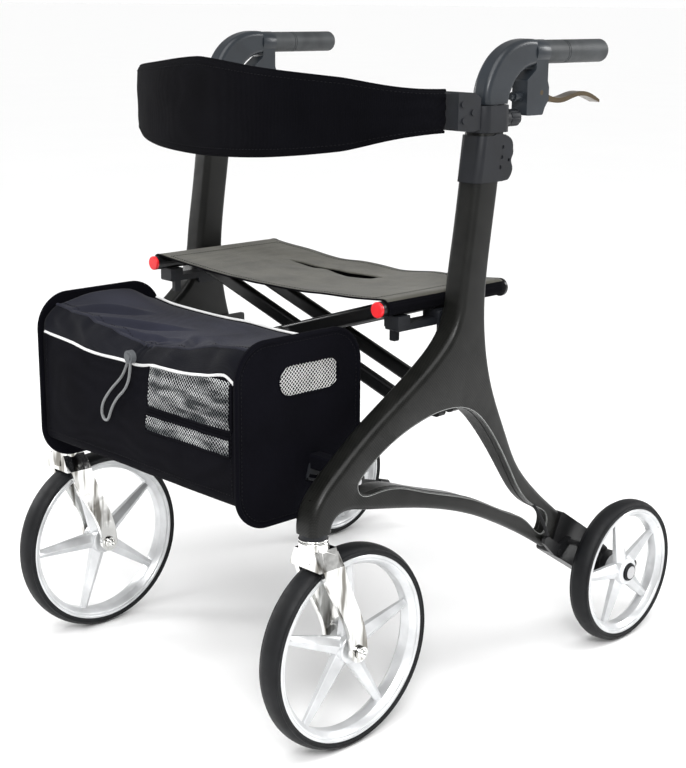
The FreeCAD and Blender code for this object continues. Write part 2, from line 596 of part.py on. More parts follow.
def bag_cover():
    """Soft top of the bag, which sags between the two side panels."""
    reach = BAG_X - PANEL / 2 - GAP
    front, rear = BAG_FRONT + 7, BAG_REAR - 12
    at_panel = [(front, 455.0), (front + 22, 486), (front + 60, 496), (rear - 50, 494), (rear, 480)]
    in_middle = [(front, 454.6), (front + 22, 465), (front + 60, 467), (rear - 50, 469), (rear, 476)]
    sections = []
    for share in (-1, -0.5, 0, 0.5, 1):
        k = abs(share) ** 2.3
        top = [(y, low + (high - low) * k) for (y, high), (_, low) in zip(at_panel, in_middle)]
        ring = [V(share * reach, y, z) for y, z in top + [(y, z - 1.6) for y, z in reversed(top)]]
        sections.append(Part.makePolygon(ring + ring[:1]))
    return Part.makeLoft(sections, True, False)


def cord_lock():
    lock = rod_y(LOCK_RADIUS, LOCK_X, LOCK_FRONT, LOCK_BACK, LOCK_Z)
    return lock.cut(rod_y(4.5 + FIT, LOCK_X, LOCK_FRONT - 1, LOCK_FRONT + 4, LOCK_Z))


def cord_lock_button():
    return rod_y(4.5, LOCK_X, LOCK_FRONT - 1.4, LOCK_FRONT + 2.2, LOCK_Z)


def drawcord():
    """Loop of the bag's drawcord that hangs from the lock, down the front and back up."""
    depth = BAG_FRONT - 2.5
    route = [(0.5, 449.8), (-5, 438), (-17, 425), (-31, 413.5), (-44, 401), (-54, 388), (-57, 375),
             (-51, 367), (-43, 369), (-38, 380), (-31.5, 391), (-21, 403), (-8, 413), (1, 425), (5, 438),
             (6.5, 449.8)]
    return tube([V(x, depth, z) for x, z in route], DRAWCORD / 2)


# ---- build ------------------------------------------------------------------------------

frame = side_frame()
pair("side_frame", frame)
pair("column_cap", column_cap(frame))
pair("clamp_collar", clamp_collar())
pair("clamp_knob", clamp_knob())
pair("backrest_bracket", backrest_bracket())
pair("handle_post", handle_post())
pair("handle_grip", handle_grip())
pair("brake_housing", brake_housing())
pair("brake_lever", brake_lever())
pair("brake_cable", brake_cable(frame))
pair("rail_saddle", rail_saddle(frame))
pair("pivot_bracket", pivot_bracket(frame))
pair("rear_bracket", rear_bracket(frame))
pair("rear_axle", rear_axle())
pair("brake_arm", brake_arm())
pair("caster_fork", caster_fork())
pair("head_bearing", head_bearing())
pair("front_axle", front_axle())
pair("seat_rail", seat_rail())
pair("rail_cap", rail_cap())
pair("bag_panel", bag_panel())

for side, sign in (("left", 1), ("right", -1)):
    for end, hub, sizes in (
        ("front", V(sign * FRAME_X, FRONT_AXLE_Y, FRONT_RADIUS), (FRONT_RADIUS, FRONT_WIDTH, FRONT_RIM, 5 + FIT)),
        ("rear", V(sign * REAR_WHEEL_X, REAR_AXLE_Y, REAR_RADIUS), (REAR_RADIUS, REAR_WIDTH, REAR_RIM, 6 + FIT)),
    ):
        place = side + "_" + end
        rim, tyre = wheel(hub, *sizes, 14.0, SPOKE_TURN[place])
        nodes[place + "_rim"] = rim
        nodes[place + "_tyre"] = tyre

bars_a = cross_bars(BARS_A)
bars_b = [mirrored(bar) for bar in cross_bars(BARS_B)]
pin_holes = [rod_y(CENTRE_PIN + FIT, 0, y - 20, y + 20, centre_z()) for y in (-92, -8)]
nodes["cross_bars_a"] = Part.makeCompound([bar.cut(Part.makeCompound(pin_holes)) for bar in bars_a])
nodes["cross_bars_b"] = Part.makeCompound([bar.cut(Part.makeCompound(pin_holes)) for bar in bars_b])
nodes["centre_pins"] = Part.makeCompound(centre_pins())
nodes["seat_fabric"] = seat_fabric()
nodes["backrest_strap"] = backrest_strap()
nodes["bag_shell"] = bag_shell()
nodes["bag_cover"] = bag_cover()
nodes["cord_lock"] = cord_lock()
nodes["cord_lock_button"] = cord_lock_button()
nodes["drawcord"] = drawcord()

os.makedirs("parts", exist_ok=True)
for name, shape in nodes.items():
    if not shape.isValid():
        print("not valid:", name)
    shape.exportStep(os.path.join("parts", name + ".step"))
print(len(nodes), "nodes")
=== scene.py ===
import json
import math

import bmesh
import bpy
from mathutils import Matrix, Vector, noise


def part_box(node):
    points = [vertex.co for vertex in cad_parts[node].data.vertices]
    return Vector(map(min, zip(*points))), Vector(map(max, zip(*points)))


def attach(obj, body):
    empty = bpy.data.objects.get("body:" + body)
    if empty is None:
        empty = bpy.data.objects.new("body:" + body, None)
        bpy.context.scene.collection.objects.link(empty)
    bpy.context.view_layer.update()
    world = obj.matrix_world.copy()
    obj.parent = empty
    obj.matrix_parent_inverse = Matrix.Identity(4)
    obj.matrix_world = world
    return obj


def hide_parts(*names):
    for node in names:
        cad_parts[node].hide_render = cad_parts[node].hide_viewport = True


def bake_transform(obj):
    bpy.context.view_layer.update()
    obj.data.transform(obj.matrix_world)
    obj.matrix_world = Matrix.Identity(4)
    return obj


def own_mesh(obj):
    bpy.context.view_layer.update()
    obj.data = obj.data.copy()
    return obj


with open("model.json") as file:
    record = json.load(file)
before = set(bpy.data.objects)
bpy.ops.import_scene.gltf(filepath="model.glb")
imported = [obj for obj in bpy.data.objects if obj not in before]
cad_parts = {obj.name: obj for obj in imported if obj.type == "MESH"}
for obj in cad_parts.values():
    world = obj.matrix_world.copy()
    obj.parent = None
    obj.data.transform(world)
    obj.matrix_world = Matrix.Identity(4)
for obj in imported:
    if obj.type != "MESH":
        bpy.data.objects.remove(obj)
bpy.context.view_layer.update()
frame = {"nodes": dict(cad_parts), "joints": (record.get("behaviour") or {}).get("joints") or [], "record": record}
MM = 0.001

# ---- camera ----

EYE = Vector((1.42102, -1.37958, 0.86975))
AZIMUTH, PITCH, ROLL = math.radians(45.845), math.radians(14.4245), math.radians(-0.475)
LENS = 69.33


def make_camera():
    forward = Vector((-math.sin(AZIMUTH) * math.cos(PITCH), math.cos(AZIMUTH) * math.cos(PITCH),
                      -math.sin(PITCH)))
    right = Vector((math.cos(AZIMUTH), math.sin(AZIMUTH), 0))
    up = right.cross(forward)
    x_axis = right * math.cos(ROLL) - up * math.sin(ROLL)
    y_axis = right * math.sin(ROLL) + up * math.cos(ROLL)
    turn = Matrix((x_axis, y_axis, -forward)).transposed().to_4x4()
    data = bpy.data.cameras.new("camera")
    data.lens, data.sensor_width = LENS, 36.0
    camera = bpy.data.objects.new("camera", data)
    camera.matrix_world = Matrix.Translation(EYE) @ turn
    bpy.context.scene.collection.objects.link(camera)
    bpy.context.scene.camera = camera


# ---- materials ----

# Period of the wave texture's stripes at a scale of 1
WAVE_PERIOD = 0.314159


class Look:
    """One procedural material: a Principled shader and the nodes that feed it."""

    def __init__(self, name, rough, metal=0.0, **sockets):
        self.material = bpy.data.materials.new(name)
        self.material.use_nodes = True
        self.tree = self.material.node_tree
        self.shader = self.tree.nodes["Principled BSDF"]
        self.shader.inputs["Roughness"].default_value = rough
        self.shader.inputs["Metallic"].default_value = metal
        for socket, value in sockets.items():
            self.shader.inputs[socket.replace("_", " ")].default_value = value
        self.place = self.tree.nodes.new("ShaderNodeTexCoord").outputs["Object"]

    def node(self, kind, **values):
        made = self.tree.nodes.new(kind)
        for key, value in values.items():
            if hasattr(made, key):
                setattr(made, key, value)
            else:
                made.inputs[key.replace("_", " ")].default_value = value
        return made

    def link(self, out, into):
        self.tree.links.new(out, into)

    def noise(self, scale, detail=3.0, stretch=None):
        tex = self.node("ShaderNodeTexNoise", Scale=scale, Detail=detail)
        self.link(self.stretched(stretch), tex.inputs["Vector"])
        return tex.outputs["Fac"]

    def stretched(self, stretch, turn=(0, 0, 0)):
        if stretch is None:
            return self.place
        mapping = self.node("ShaderNodeMapping")
        mapping.inputs["Scale"].default_value = stretch
        mapping.inputs["Rotation"].default_value = turn
        self.link(self.place, mapping.inputs["Vector"])
        return mapping.outputs["Vector"]

    def wave(self, pitch, direction, turn=(0, 0, 0)):
        """Stripes whose period is pitch metres."""
        tex = self.node("ShaderNodeTexWave", bands_direction=direction, Scale=WAVE_PERIOD / pitch)
        self.link(self.stretched((1, 1, 1), turn), tex.inputs["Vector"])
        return tex.outputs["Fac"]

    def math(self, operation, a, b):
        made = self.node("ShaderNodeMath", operation=operation)
        for socket, value in zip(made.inputs, (a, b)):
            if isinstance(value, (int, float)):
                socket.default_value = value
            else:
                self.link(value, socket)
        return made.outputs[0]

    def ramp(self, factor, low, high, start=0.35, end=0.65):
        made = self.node("ShaderNodeValToRGB")
        made.color_ramp.elements[0].position, made.color_ramp.elements[1].position = start, end
        made.color_ramp.elements[0].color = (*low, 1)
        made.color_ramp.elements[1].color = (*high, 1)
        self.link(factor, made.inputs["Fac"])
        return made.outputs["Color"]

    def colour(self, out):
        self.link(out, self.shader.inputs["Base Color"])

    def rough(self, factor, low, high):
        spread = self.node("ShaderNodeMapRange")
        spread.inputs["To Min"].default_value, spread.inputs["To Max"].default_value = low, high
        self.link(factor, spread.inputs["Value"])
        self.link(spread.outputs["Result"], self.shader.inputs["Roughness"])

    def bump(self, height, strength, distance):
        made = self.node("ShaderNodeBump", Strength=strength, Distance=distance)
        self.link(height, made.inputs["Height"])
        self.link(made.outputs["Normal"], self.shader.inputs["Normal"])
        return self


def tint(rgb, k):
    return tuple(c * k for c in rgb)


def carbon_look():
    """Woven carbon under a satin lacquer: crossing bands of thread, a little lighter on the crowns."""
    look = Look("carbon_weave", 0.3, Coat_Weight=0.06, Coat_Roughness=0.2, Specular_IOR_Level=0.18)
    thread, turn, lean = 0.0024, 0.785, 0.6
    along = look.wave(thread, "Y", (turn, 0, lean))
    across = look.wave(thread, "Z", (turn, lean, 0))
    weave = look.math("MULTIPLY", along, across)
    mottled = look.math("ADD", weave, look.noise(45, 4))
    look.colour(look.ramp(mottled, (0.0022, 0.0023, 0.0021), (0.0098, 0.0100, 0.0090), 0.35, 1.3))
    look.rough(look.noise(160, 5), 0.24, 0.44)
    return look.bump(look.math("ADD", weave, look.noise(420, 4)), 0.13, 0.0004)


def moulding_look(name, rgb):
    """Moulded plastic with a fine spark-eroded grain."""
    look = Look(name, 0.5, Specular_IOR_Level=0.28)
    look.colour(look.ramp(look.noise(30, 4), tint(rgb, 0.8), tint(rgb, 1.25)))
    look.rough(look.noise(60, 4), 0.42, 0.62)
    return look.bump(look.noise(900, 2), 0.25, 0.0003)


def painted_look(name, rgb, low, high, metal=0.0, coat=0.3):
    """Powder coat or paint, with a slight orange peel."""
    look = Look(name, low, metal, Coat_Weight=coat, Coat_Roughness=0.2, Specular_IOR_Level=0.3)
    look.colour(look.ramp(look.noise(22, 4), tint(rgb, 0.85), tint(rgb, 1.15)))
    look.rough(look.noise(90, 4), low, high)
    return look.bump(look.noise(500, 2), 0.12, 0.0003)


def rubber_look(name, rgb):
    look = Look(name, 0.6, Specular_IOR_Level=0.22)
    look.colour(look.ramp(look.noise(40, 5), tint(rgb, 0.75), tint(rgb, 1.3)))
    look.rough(look.noise(120, 4), 0.42, 0.68)
    return look.bump(look.noise(1300, 2), 0.3, 0.0002)


def grip_look():
    """Soft moulded grip with a fine diamond knurl."""
    look = Look("grip_rubber", 0.6, Specular_IOR_Level=0.4)
    pitch, slant = 0.0024, 0.6
    one_way, other_way = look.wave(pitch, "Y", (slant, 0, 0)), look.wave(pitch, "Y", (-slant, 0, 0))
    knurl = look.math("MULTIPLY", one_way, other_way)
    look.colour(look.ramp(look.noise(35, 4), (0.022, 0.025, 0.027), (0.040, 0.044, 0.047)))
    look.rough(look.noise(80, 3), 0.45, 0.62)
    return look.bump(knurl, 0.22, 0.0004)


def metal_look(name, rgb, low, high, brushed):
    """Bare metal; brushed scales its fine lines along each axis."""
    look = Look(name, low, 1.0)
    look.colour(look.ramp(look.noise(18, 3), tint(rgb, 0.9), rgb))
    streaks = look.noise(300, 2, brushed)
    look.rough(streaks, low, high)
    return look.bump(streaks, 0.05, 0.0002)


def chrome_look():
    """Hand-polished chrome, whose slightly uneven surface bends what it mirrors, with dark streaks of painted
    reflection in its colour.
    """
    look = Look("chrome", 0.08, 1.0)
    # Painted reflection: stretched noise darkens the colour in streaks, standing for dark things mirrored in the
    # chrome
    streaks = look.noise(60, 2, (1.4, 1.4, 0.22))
    look.colour(look.ramp(streaks, (0.22, 0.21, 0.19), (0.88, 0.88, 0.86), 0.36, 0.50))
    look.rough(look.noise(70, 3), 0.04, 0.14)
    return look.bump(look.noise(55, 2), 0.35, 0.002)


def cloth_look(name, rgb, pitch, depth, sheen, mottling=14, high=1.35, shine=0.25):
    """Woven cloth: crossing threads, slow mottling that is lighter and darker in broad patches, and a soft sheen.
    """
    look = Look(name, 0.85, Sheen_Weight=sheen, Sheen_Roughness=0.5, Specular_IOR_Level=shine)
    warp, weft = look.wave(pitch, "X"), look.wave(pitch, "Y")
    rise = look.wave(pitch, "Z")
    weave = look.math("ADD", look.math("MULTIPLY", warp, weft), look.math("MULTIPLY", warp, rise))
    shade = look.math("ADD", look.math("MULTIPLY", weave, 0.25), look.noise(mottling, 5))
    look.colour(look.ramp(shade, tint(rgb, 0.7), tint(rgb, high), 0.3, 0.85))
    return look.bump(look.math("ADD", weave, look.noise(240, 4)), depth, 0.0006)


def net_look():
    """Pale net thread, bright where the net bulges to the light and dull in its folds."""
    look = Look("net_grey", 0.7, Sheen_Weight=0.1)
    streaks = look.noise(30, 2, (0.8, 0.8, 3.6))
    look.colour(look.ramp(streaks, (0.09, 0.10, 0.105), (0.80, 0.82, 0.82), 0.36, 0.66))
    return look.bump(look.noise(900, 2), 0.2, 0.0002)


LOOKS = {
    "carbon": carbon_look(),
    # Pale grey of the frame's edge beads: a painted highlight along the carbon's edges
    "painted_highlight_edge": painted_look("painted_highlight_edge", (0.34, 0.35, 0.34), 0.16, 0.3, 0.3, 0.6),
    "black_moulding": moulding_look("black_moulding", (0.0075, 0.0085, 0.0110)),
    "handle_shell": painted_look("handle_shell", (0.017, 0.021, 0.026), 0.28, 0.44, 0.0, 0.12),
    "grip_rubber": grip_look(),
    "lever_metal": painted_look("lever_metal", (0.075, 0.052, 0.026), 0.25, 0.42, 0.6),
    "black_metal": painted_look("black_metal", (0.0042, 0.0043, 0.0048), 0.25, 0.4, 0.0, 0.1),
    "steel": metal_look("steel", (0.55, 0.55, 0.56), 0.22, 0.4, (1, 8, 8)),
    "chrome": chrome_look(),
    "rim_silver": painted_look("rim_silver", (0.66, 0.67, 0.68), 0.24, 0.38, 0.55, 0.3),
    "tyre": rubber_look("tyre_rubber", (0.0058, 0.0062, 0.0072)),
    "red_cap": painted_look("red_cap", (0.80, 0.015, 0.022), 0.25, 0.35),
    "seat_cloth": cloth_look("seat_cloth", (0.056, 0.054, 0.043), 0.0016, 0.4, 0.15, 20, 1.6),
    "backrest_cloth": cloth_look("backrest_cloth", (0.0020, 0.0020, 0.0030), 0.0014, 0.3, 0.010, shine=0.03),
    "bag_cloth": cloth_look("bag_cloth", (0.0024, 0.0024, 0.0040), 0.0015, 0.3, 0.010, shine=0.03),
    "bag_top_cloth": cloth_look("bag_top_cloth", (0.0090, 0.0095, 0.0150), 0.0012, 0.2, 0.05, 9, 2.4, 0.16),
    "bag_collar": cloth_look("bag_collar", (0.0034, 0.0036, 0.0055), 0.0012, 0.25, 0.03, 9, 2.2, 0.08),
    "piping": cloth_look("piping_white", (0.72, 0.72, 0.72), 0.0014, 0.2, 0.1, 20, 1.1),
    "cord": cloth_look("cord_braid", (0.15, 0.155, 0.16), 0.0011, 0.6, 0.3),
    "lock_grey": moulding_look("lock_grey", (0.085, 0.090, 0.096)),
    "cable_cover": rubber_look("cable_cover", (0.008, 0.008, 0.009)),
    "thread": cloth_look("thread", (0.0042, 0.0042, 0.0056), 0.0006, 0.3, 0.03, shine=0.06),
    "net_grey": net_look(),
    "net_pale": cloth_look("net_pale", (0.62, 0.62, 0.61), 0.0009, 0.2, 0.1),
}


def dress_cad_nodes():
    """Gives every CAD node the look of its material slot."""
    for part in frame["record"]["subparts"]:
        obj = frame["nodes"][part["node"]]
        obj.data.materials.clear()
        look = "lock_grey" if part["node"].startswith("cord_lock") else part["material_slot"]
        obj.data.materials.append(LOOKS[look].material)


# ---- mesh helpers ----

BOXES = {}
SIDES = (("left", 1), ("right", -1))
STITCH_LENGTH, STITCH_GAP, STITCH_RADIUS = 0.0032, 0.0018, 0.00045


def side_name(sign):
    return "left" if sign > 0 else "right"


def box(node):
    """Lowest and highest corners of a CAD node at rest."""
    if node not in BOXES:
        BOXES[node] = [Vector(corner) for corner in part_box(node)]
    return BOXES[node]


def new_object(name, mesh, look):
    obj = bpy.data.objects.new(name, mesh)
    bpy.context.scene.collection.objects.link(obj)
    if look is not None:
        mesh.materials.append(LOOKS[look].material)
    return obj


def mesh_piece(name, points, faces, look, smooth=True):
    mesh = bpy.data.meshes.new(name)
    mesh.from_pydata([tuple(p) for p in points], [], faces)
    mesh.update()
    if smooth:
        mesh.polygons.foreach_set("use_smooth", [True] * len(mesh.polygons))
    return new_object(name, mesh, look)


def grid_faces(rows, columns, start=0, closed=False):
    """Quads of a grid whose points are stored row by row."""
    faces = []
    for i in range(rows - 1):
        for j in range(columns if closed else columns - 1):
            a, b = start + i * columns + j, start + i * columns + (j + 1) % columns
            faces.append((a, b, b + columns, a + columns))
    return faces


def modifier(obj, kind, **settings):
    made = obj.modifiers.new(kind.lower(), kind)
    for key, value in settings.items():
        setattr(made, key, value)


def evaluated_mesh(obj):
    return bpy.data.meshes.new_from_object(obj.evaluated_get(bpy.context.evaluated_depsgraph_get()))


def finished(obj):
    """Applies the modifiers to the real mesh."""
    materials = list(obj.data.materials)
    mesh = evaluated_mesh(obj)
    obj.modifiers.clear()
    obj.data = mesh
    mesh.materials.clear()
    for material in materials:
        mesh.materials.append(material)
    return obj


def thicken(obj, thickness, offset=0.0):
    modifier(obj, "SOLIDIFY", thickness=thickness, offset=offset)
    return finished(obj)


def tube_piece(name, route, radius, look, closed=False, smooth_path=True):
    """Round cord, seam or piping along a route."""
    curve = bpy.data.curves.new(name, "CURVE")
    curve.dimensions, curve.bevel_depth, curve.bevel_resolution = "3D", radius, 3
    spline = curve.splines.new("NURBS" if smooth_path else "POLY")
    spline.points.add(len(route) - 1)
    for point, p in zip(spline.points, route):
        point.co = (*p, 1)
    spline.use_cyclic_u = closed
    if smooth_path:
        spline.order_u = 3
        spline.use_endpoint_u = not closed
    curve.use_fill_caps = True
    return new_object(name, curve, look)


def as_mesh(obj):
    """Swaps a curve piece for its mesh."""
    name, look = obj.name, obj.data.materials[0]
    mesh = evaluated_mesh(obj)
    bpy.data.objects.remove(obj)
    made = bpy.data.objects.new(name, mesh)
    bpy.context.scene.collection.objects.link(made)
    made.data.materials.clear()
    made.data.materials.append(look)
    made.data.polygons.foreach_set("use_smooth", [True] * len(made.data.polygons))
    return made


def merged(obj):
    """Joins the points that lie on one another."""
    shape = bmesh.new()
    shape.from_mesh(obj.data)
    bmesh.ops.remove_doubles(shape, verts=shape.verts, dist=1e-6)
    shape.to_mesh(obj.data)
    shape.free()
    return obj


def stitches(name, line):
    """Row of short raised stitches along a line of points."""
    points, faces = [], []
    walked, sides = 0.0, 4
    for a, b in zip(line, line[1:]):
        a, b = Vector(a), Vector(b)
        run = (b - a).length
        if run < 1e-9:
            continue
        way = (b - a) / run
        side = way.cross(Vector((0.31, 0.52, 0.79))).normalized()
        other = way.cross(side)
        at = walked
        while at + STITCH_LENGTH < run:
            start = len(points)
            for t, r in ((0, 0.3), (0.25, 1), (0.75, 1), (1, 0.3)):
                middle = a + way * (at + t * STITCH_LENGTH)
                for k in range(sides):
                    turn = 2 * math.pi * k / sides
                    outward = side * math.cos(turn) + other * math.sin(turn)
                    points.append(middle + outward * STITCH_RADIUS * r)
            end = len(points)
            faces += grid_faces(4, sides, start, True)
            faces += [tuple(range(start + sides - 1, start - 1, -1)), tuple(range(end - sides, end))]
            at += STITCH_LENGTH + STITCH_GAP
        walked = at - run
    return mesh_piece(name, points, faces, "thread")


def crease(x, y, scale, seed=0.0):
    """Smooth random value from -1 to 1, the same on every run."""
    return noise.noise(Vector((x * scale, y * scale, seed)))


def smooth_table(t, table):
    """Smooth curve through the table, by Catmull-Rom between its points."""
    values = [table[0]] + table + [table[-1]]
    for k in range(1, len(values) - 2):
        (t0, v0), (t1, v1) = values[k], values[k + 1]
        if t <= t1 or k == len(values) - 3:
            s = max(0.0, min(1.0, (t - t0) / (t1 - t0)))
            a, b = values[k - 1][1], values[k + 2][1]
            return 0.5 * (2 * v0 + (v1 - a) * s + (2 * a - 5 * v0 + 4 * v1 - b) * s * s
                          + (3 * v0 - a - 3 * v1 + b) * s ** 3)
    return table[-1][1]


# ---- fold ----

def fold_keep(span_high, span_low):
    """Share of a width between the two frames that is left when the walker is folded."""
    joints = {j["name"]: j for j in frame["joints"]}
    pivot = joints["fold"]["pos_m"]
    rise = 2 * (joints["fold_centre"]["pos_m"][2] - pivot[2])
    bar = math.hypot(2 * pivot[0], rise)
    turn = math.atan2(rise, 2 * pivot[0]) + math.radians(joints["fold"]["range_deg"][1])
    shift = 2 * pivot[0] - bar * math.cos(turn)
    return (span_high - span_low - shift) / (span_high - span_low)


def gathers(obj, anchor_x):
    """Cloth between the two frames, hung on the left frame with a mesh of its own."""
    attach(obj, "left_frame")
    fold_keep(anchor_x, -anchor_x)
    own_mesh(obj)


# ---- drawcord ----

# The cord's route as (x, z) in its upright plane, in mm
DRAWCORD_Y = -362.0
DRAWCORD_ROUTE = [(0.5, 449.8), (-5, 438), (-17, 425), (-31, 413.5), (-44, 401), (-54, 388), (-57, 375),
                  (-51, 367), (-43, 369), (-38, 380), (-31.5, 391), (-21, 403), (-8, 413), (1, 425),
                  (5, 438), (6.5, 449.8)]
DRAWCORD_WIDTH, DRAWCORD_LENGTH = 0.0034, 0.2099


def make_drawcord():
    route = [(x * MM, DRAWCORD_Y * MM, z * MM) for x, z in DRAWCORD_ROUTE]
    cord = tube_piece("drawcord_loop", route, DRAWCORD_WIDTH / 2, "cord")
    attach(cord, "bag_middle")
    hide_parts("drawcord")
    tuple(route[0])


# ---- seat ----

SLIT_X, SLIT_Y = (-0.104, 0.076), -0.005
# Width of the slit along its length, from one end at 0 to the other at 1
SLIT_LOBES = [(0, 0), (0.1, 0.0034), (0.28, 0.0050), (0.42, 0.0034), (0.55, 0.0078), (0.75, 0.0104),
              (0.92, 0.0070), (1, 0)]
# How far the slit's pull reaches into the cloth, and its front lip's drop as a share of the gap
SLIT_PULL, SLIT_DROP = 0.034, 0.42
# Sag of the seat's middle, and the cloth's distance from the rail
SEAT_SAG, SEAT_SLEEVE = 0.012, 0.0014
# Distance of a hem's stitches from its edge, and their reach from the middle
HEM_INSET, HEM_REACH = 0.008, 0.205


def slit_gap(x):
    """Width that the slit in the seat has pulled open at x."""
    t = (x - SLIT_X[0]) / (SLIT_X[1] - SLIT_X[0])
    return max(0.0, smooth_table(t, SLIT_LOBES)) if 0 < t < 1 else 0.0


def slit_ruffle(x):
    """Small waves along the slit's lips."""
    return 0.0012 * crease(x, 0, 30, 8.0)


def seat_height(x, y, rail_x, top, front, rear):
    """Height of the sagging cloth between the rails, whose tops are at top."""
    across = max(0.0, 1 - abs(x / rail_x) ** 2.1)
    depth = 0.88 + 0.12 * math.sin(math.pi * (y - front) / (rear - front))
    soft = across * (0.0017 * crease(x, y, 9, 1.7) + 0.0008 * crease(x, y * 2.2, 26, 4.1))
    pull = 0.0016 * across * math.sin(48 * (x + 0.7 * y)) * math.exp(-(((y - rear) / 0.05) ** 2))
    return top - SEAT_SAG * depth * across + soft + pull


def make_seat():
    low, high = box("seat_fabric")
    cap_low, cap_high = box("left_rail_cap")
    rail_x, rail_z = (cap_low[0] + cap_high[0]) / 2, (cap_low[2] + cap_high[2]) / 2
    wrap = (cap_high[0] - cap_low[0]) / 2 + SEAT_SLEEVE
    front, rear = low[1], high[1]

    def around(start, end, count):
        turns = [math.radians(start + (end - start) * k / (count - 1)) for k in range(count)]
        return [(rail_x + wrap * math.cos(a), rail_z + wrap * math.sin(a)) for a in turns]

    shoulder, sleeve = around(52, 88, 5), around(-40, 52, 12)
    inner = shoulder[-1][0] - 0.003
    flat = [inner - 2 * inner * k / 88 for k in range(89)]
    columns = shoulder + [(x, None) for x in flat] + [(-x, z) for x, z in reversed(shoulder)]

    def surface(x, z, y):
        return z if z is not None else seat_height(x, y, rail_x, rail_z + wrap, front, rear)

    points, faces = [], []
    for y0, y1, side in ((front, SLIT_Y, -1), (SLIT_Y, rear, 1)):
        rows = 26 if side < 0 else 14
        start = len(points)
        for i in range(rows):
            y = y0 + (y1 - y0) * i / (rows - 1)
            near = max(0.0, 1 - abs(y - SLIT_Y) / SLIT_PULL) ** 2
            for x, z in columns:
                gap = slit_gap(x)
                ruffle = slit_ruffle(x) * near if gap > 0 else 0.0
                edge = (0.0014 * crease(x, 0, 20, side * 3.0)
                        * max(0.0, 1 - abs(y - (front if side < 0 else rear)) / 0.02))
                drop = SLIT_DROP * near * gap * (side < 0)
                points.append((x, y + side * near * gap / 2 + edge, surface(x, z, y) + ruffle - drop))
        faces += grid_faces(rows, len(columns), start)
    seat = merged(mesh_piece("seat", points, faces, "seat_cloth"))
    thicken(seat, 0.0014)

    def over(y, lift, inset=0.0, reach=1.0):
        """Line over the cloth from side to side, no farther than reach from the middle."""
        return [(x, y + inset, surface(x, z, y) + lift) for x, z in columns if abs(x) <= reach]

    def lip(x, side):
        drop = SLIT_DROP * slit_gap(x) if side < 0 else 0.0
        height = surface(x, None, SLIT_Y) + slit_ruffle(x) - drop
        return (x, SLIT_Y + side * (slit_gap(x) / 2 + 0.0004), height)

    def depths(margin, count):
        return [front + margin + (rear - front - 2 * margin) * k / (count - 1) for k in range(count)]

    trims = []
    for name, y, way in (("seat_hem_front", front, 1), ("seat_hem_rear", rear, -1)):
        trims.append(as_mesh(tube_piece(name, over(y, 0.0), 0.0012, "backrest_cloth")))
        trims.append(stitches(name + "_stitching", over(y, 0.0010, way * HEM_INSET, HEM_REACH)))
    slit = [SLIT_X[0] + (SLIT_X[1] - SLIT_X[0]) * k / 50 for k in range(51)]
    for side, edge_name in ((-1, "front"), (1, "rear")):
        rim = [lip(x, side) for x in slit]
        trims.append(as_mesh(tube_piece("seat_slit_edge_" + edge_name, rim, 0.0010, "seat_cloth")))
        tube = [(side * x, y, z) for y in depths(0.0, 25) for x, z in sleeve]
        faces = grid_faces(25, len(sleeve))
        wrapped = mesh_piece("seat_sleeve_" + side_name(side), tube, faces, "backrest_cloth")
        trims.append(thicken(wrapped, 0.0012))
    for side in (-1, 1):
        seam_x = side * (rail_x - 0.019)
        seam = [(seam_x, y, surface(seam_x, None, y) + 0.001) for y in depths(0.006, 31)]
        trims.append(stitches("seat_sleeve_stitching_" + side_name(side), seam))
    # Near-black sheet under the slit: painted shade, for the dark that shows through the gap
    shade_points = [(x, SLIT_Y + 0.001 + w * 0.013, surface(x, None, SLIT_Y) - 0.0030 - 0.0060 * (1 - w * w))
              for w in (-1, -0.6, -0.2, 0.2, 0.6, 1) for x in slit]
    shade_sheet = mesh_piece("seat_slit_painted_shade", shade_points, grid_faces(6, len(slit)), "backrest_cloth")
    trims.append(thicken(shade_sheet, 0.0008))
    for piece in [seat] + trims:
        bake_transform(piece)
    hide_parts("seat_fabric")


# ---- backrest ----

# Height of the pad above and below its middle line, by distance from the walker's middle
BACKREST_UP = [(0, 0.056), (0.1, 0.046), (0.19, 0.037), (0.2525, 0.0225)]
BACKREST_DOWN = [(0, 0.058), (0.1, 0.054), (0.19, 0.043), (0.2525, 0.0235)]
# Height of the pad's middle line, how far it lies inside the strap's box, and the power of its bow
BACKREST_Z, BACKREST_INSET, BOW_POWER = 0.750, 0.0045, 2.35


def backrest_place(turn):
    """Point on the strap's middle line, and the way it faces, for a turn of -90 to 90 degrees."""
    low, high = box("backrest_strap")
    reach, depth = high[0] - BACKREST_INSET, high[1] - low[1] - BACKREST_INSET

    def at(a):
        s = math.sin(a)
        return Vector((math.copysign(abs(s) ** (2 / BOW_POWER), s) * reach, high[1] - depth * math.cos(a)))

    here = at(turn)
    ahead = at(min(turn + 0.01, math.pi / 2)) - at(max(turn - 0.01, -math.pi / 2))
    ahead.normalize()
    return here, Vector((ahead.y, -ahead.x))


def backrest_point(turn, height, out):
    """Point of the pad: height from -1 to 1 across it, out from -1 at the back to 1 in front."""
    here, facing = backrest_place(turn)
    span = abs(here.x)
    half = smooth_table(span, BACKREST_UP if height > 0 else BACKREST_DOWN)
    pad = 0.0044 * (1 - abs(height) ** 7) ** 0.5
    fold = 0.0011 * crease(turn * 0.3, height * 0.05, 30, out) * (1 - abs(height) ** 3)
    pull = 0.0010 * math.sin(height * 9 + 2 * crease(turn, 0, 8)) * math.exp(-((span - 0.25) / 0.05) ** 2)
    lift = out * (0.0009 + pad) + fold + pull
    return (here.x + facing.x * lift, here.y + facing.y * lift, BACKREST_Z + height * half)


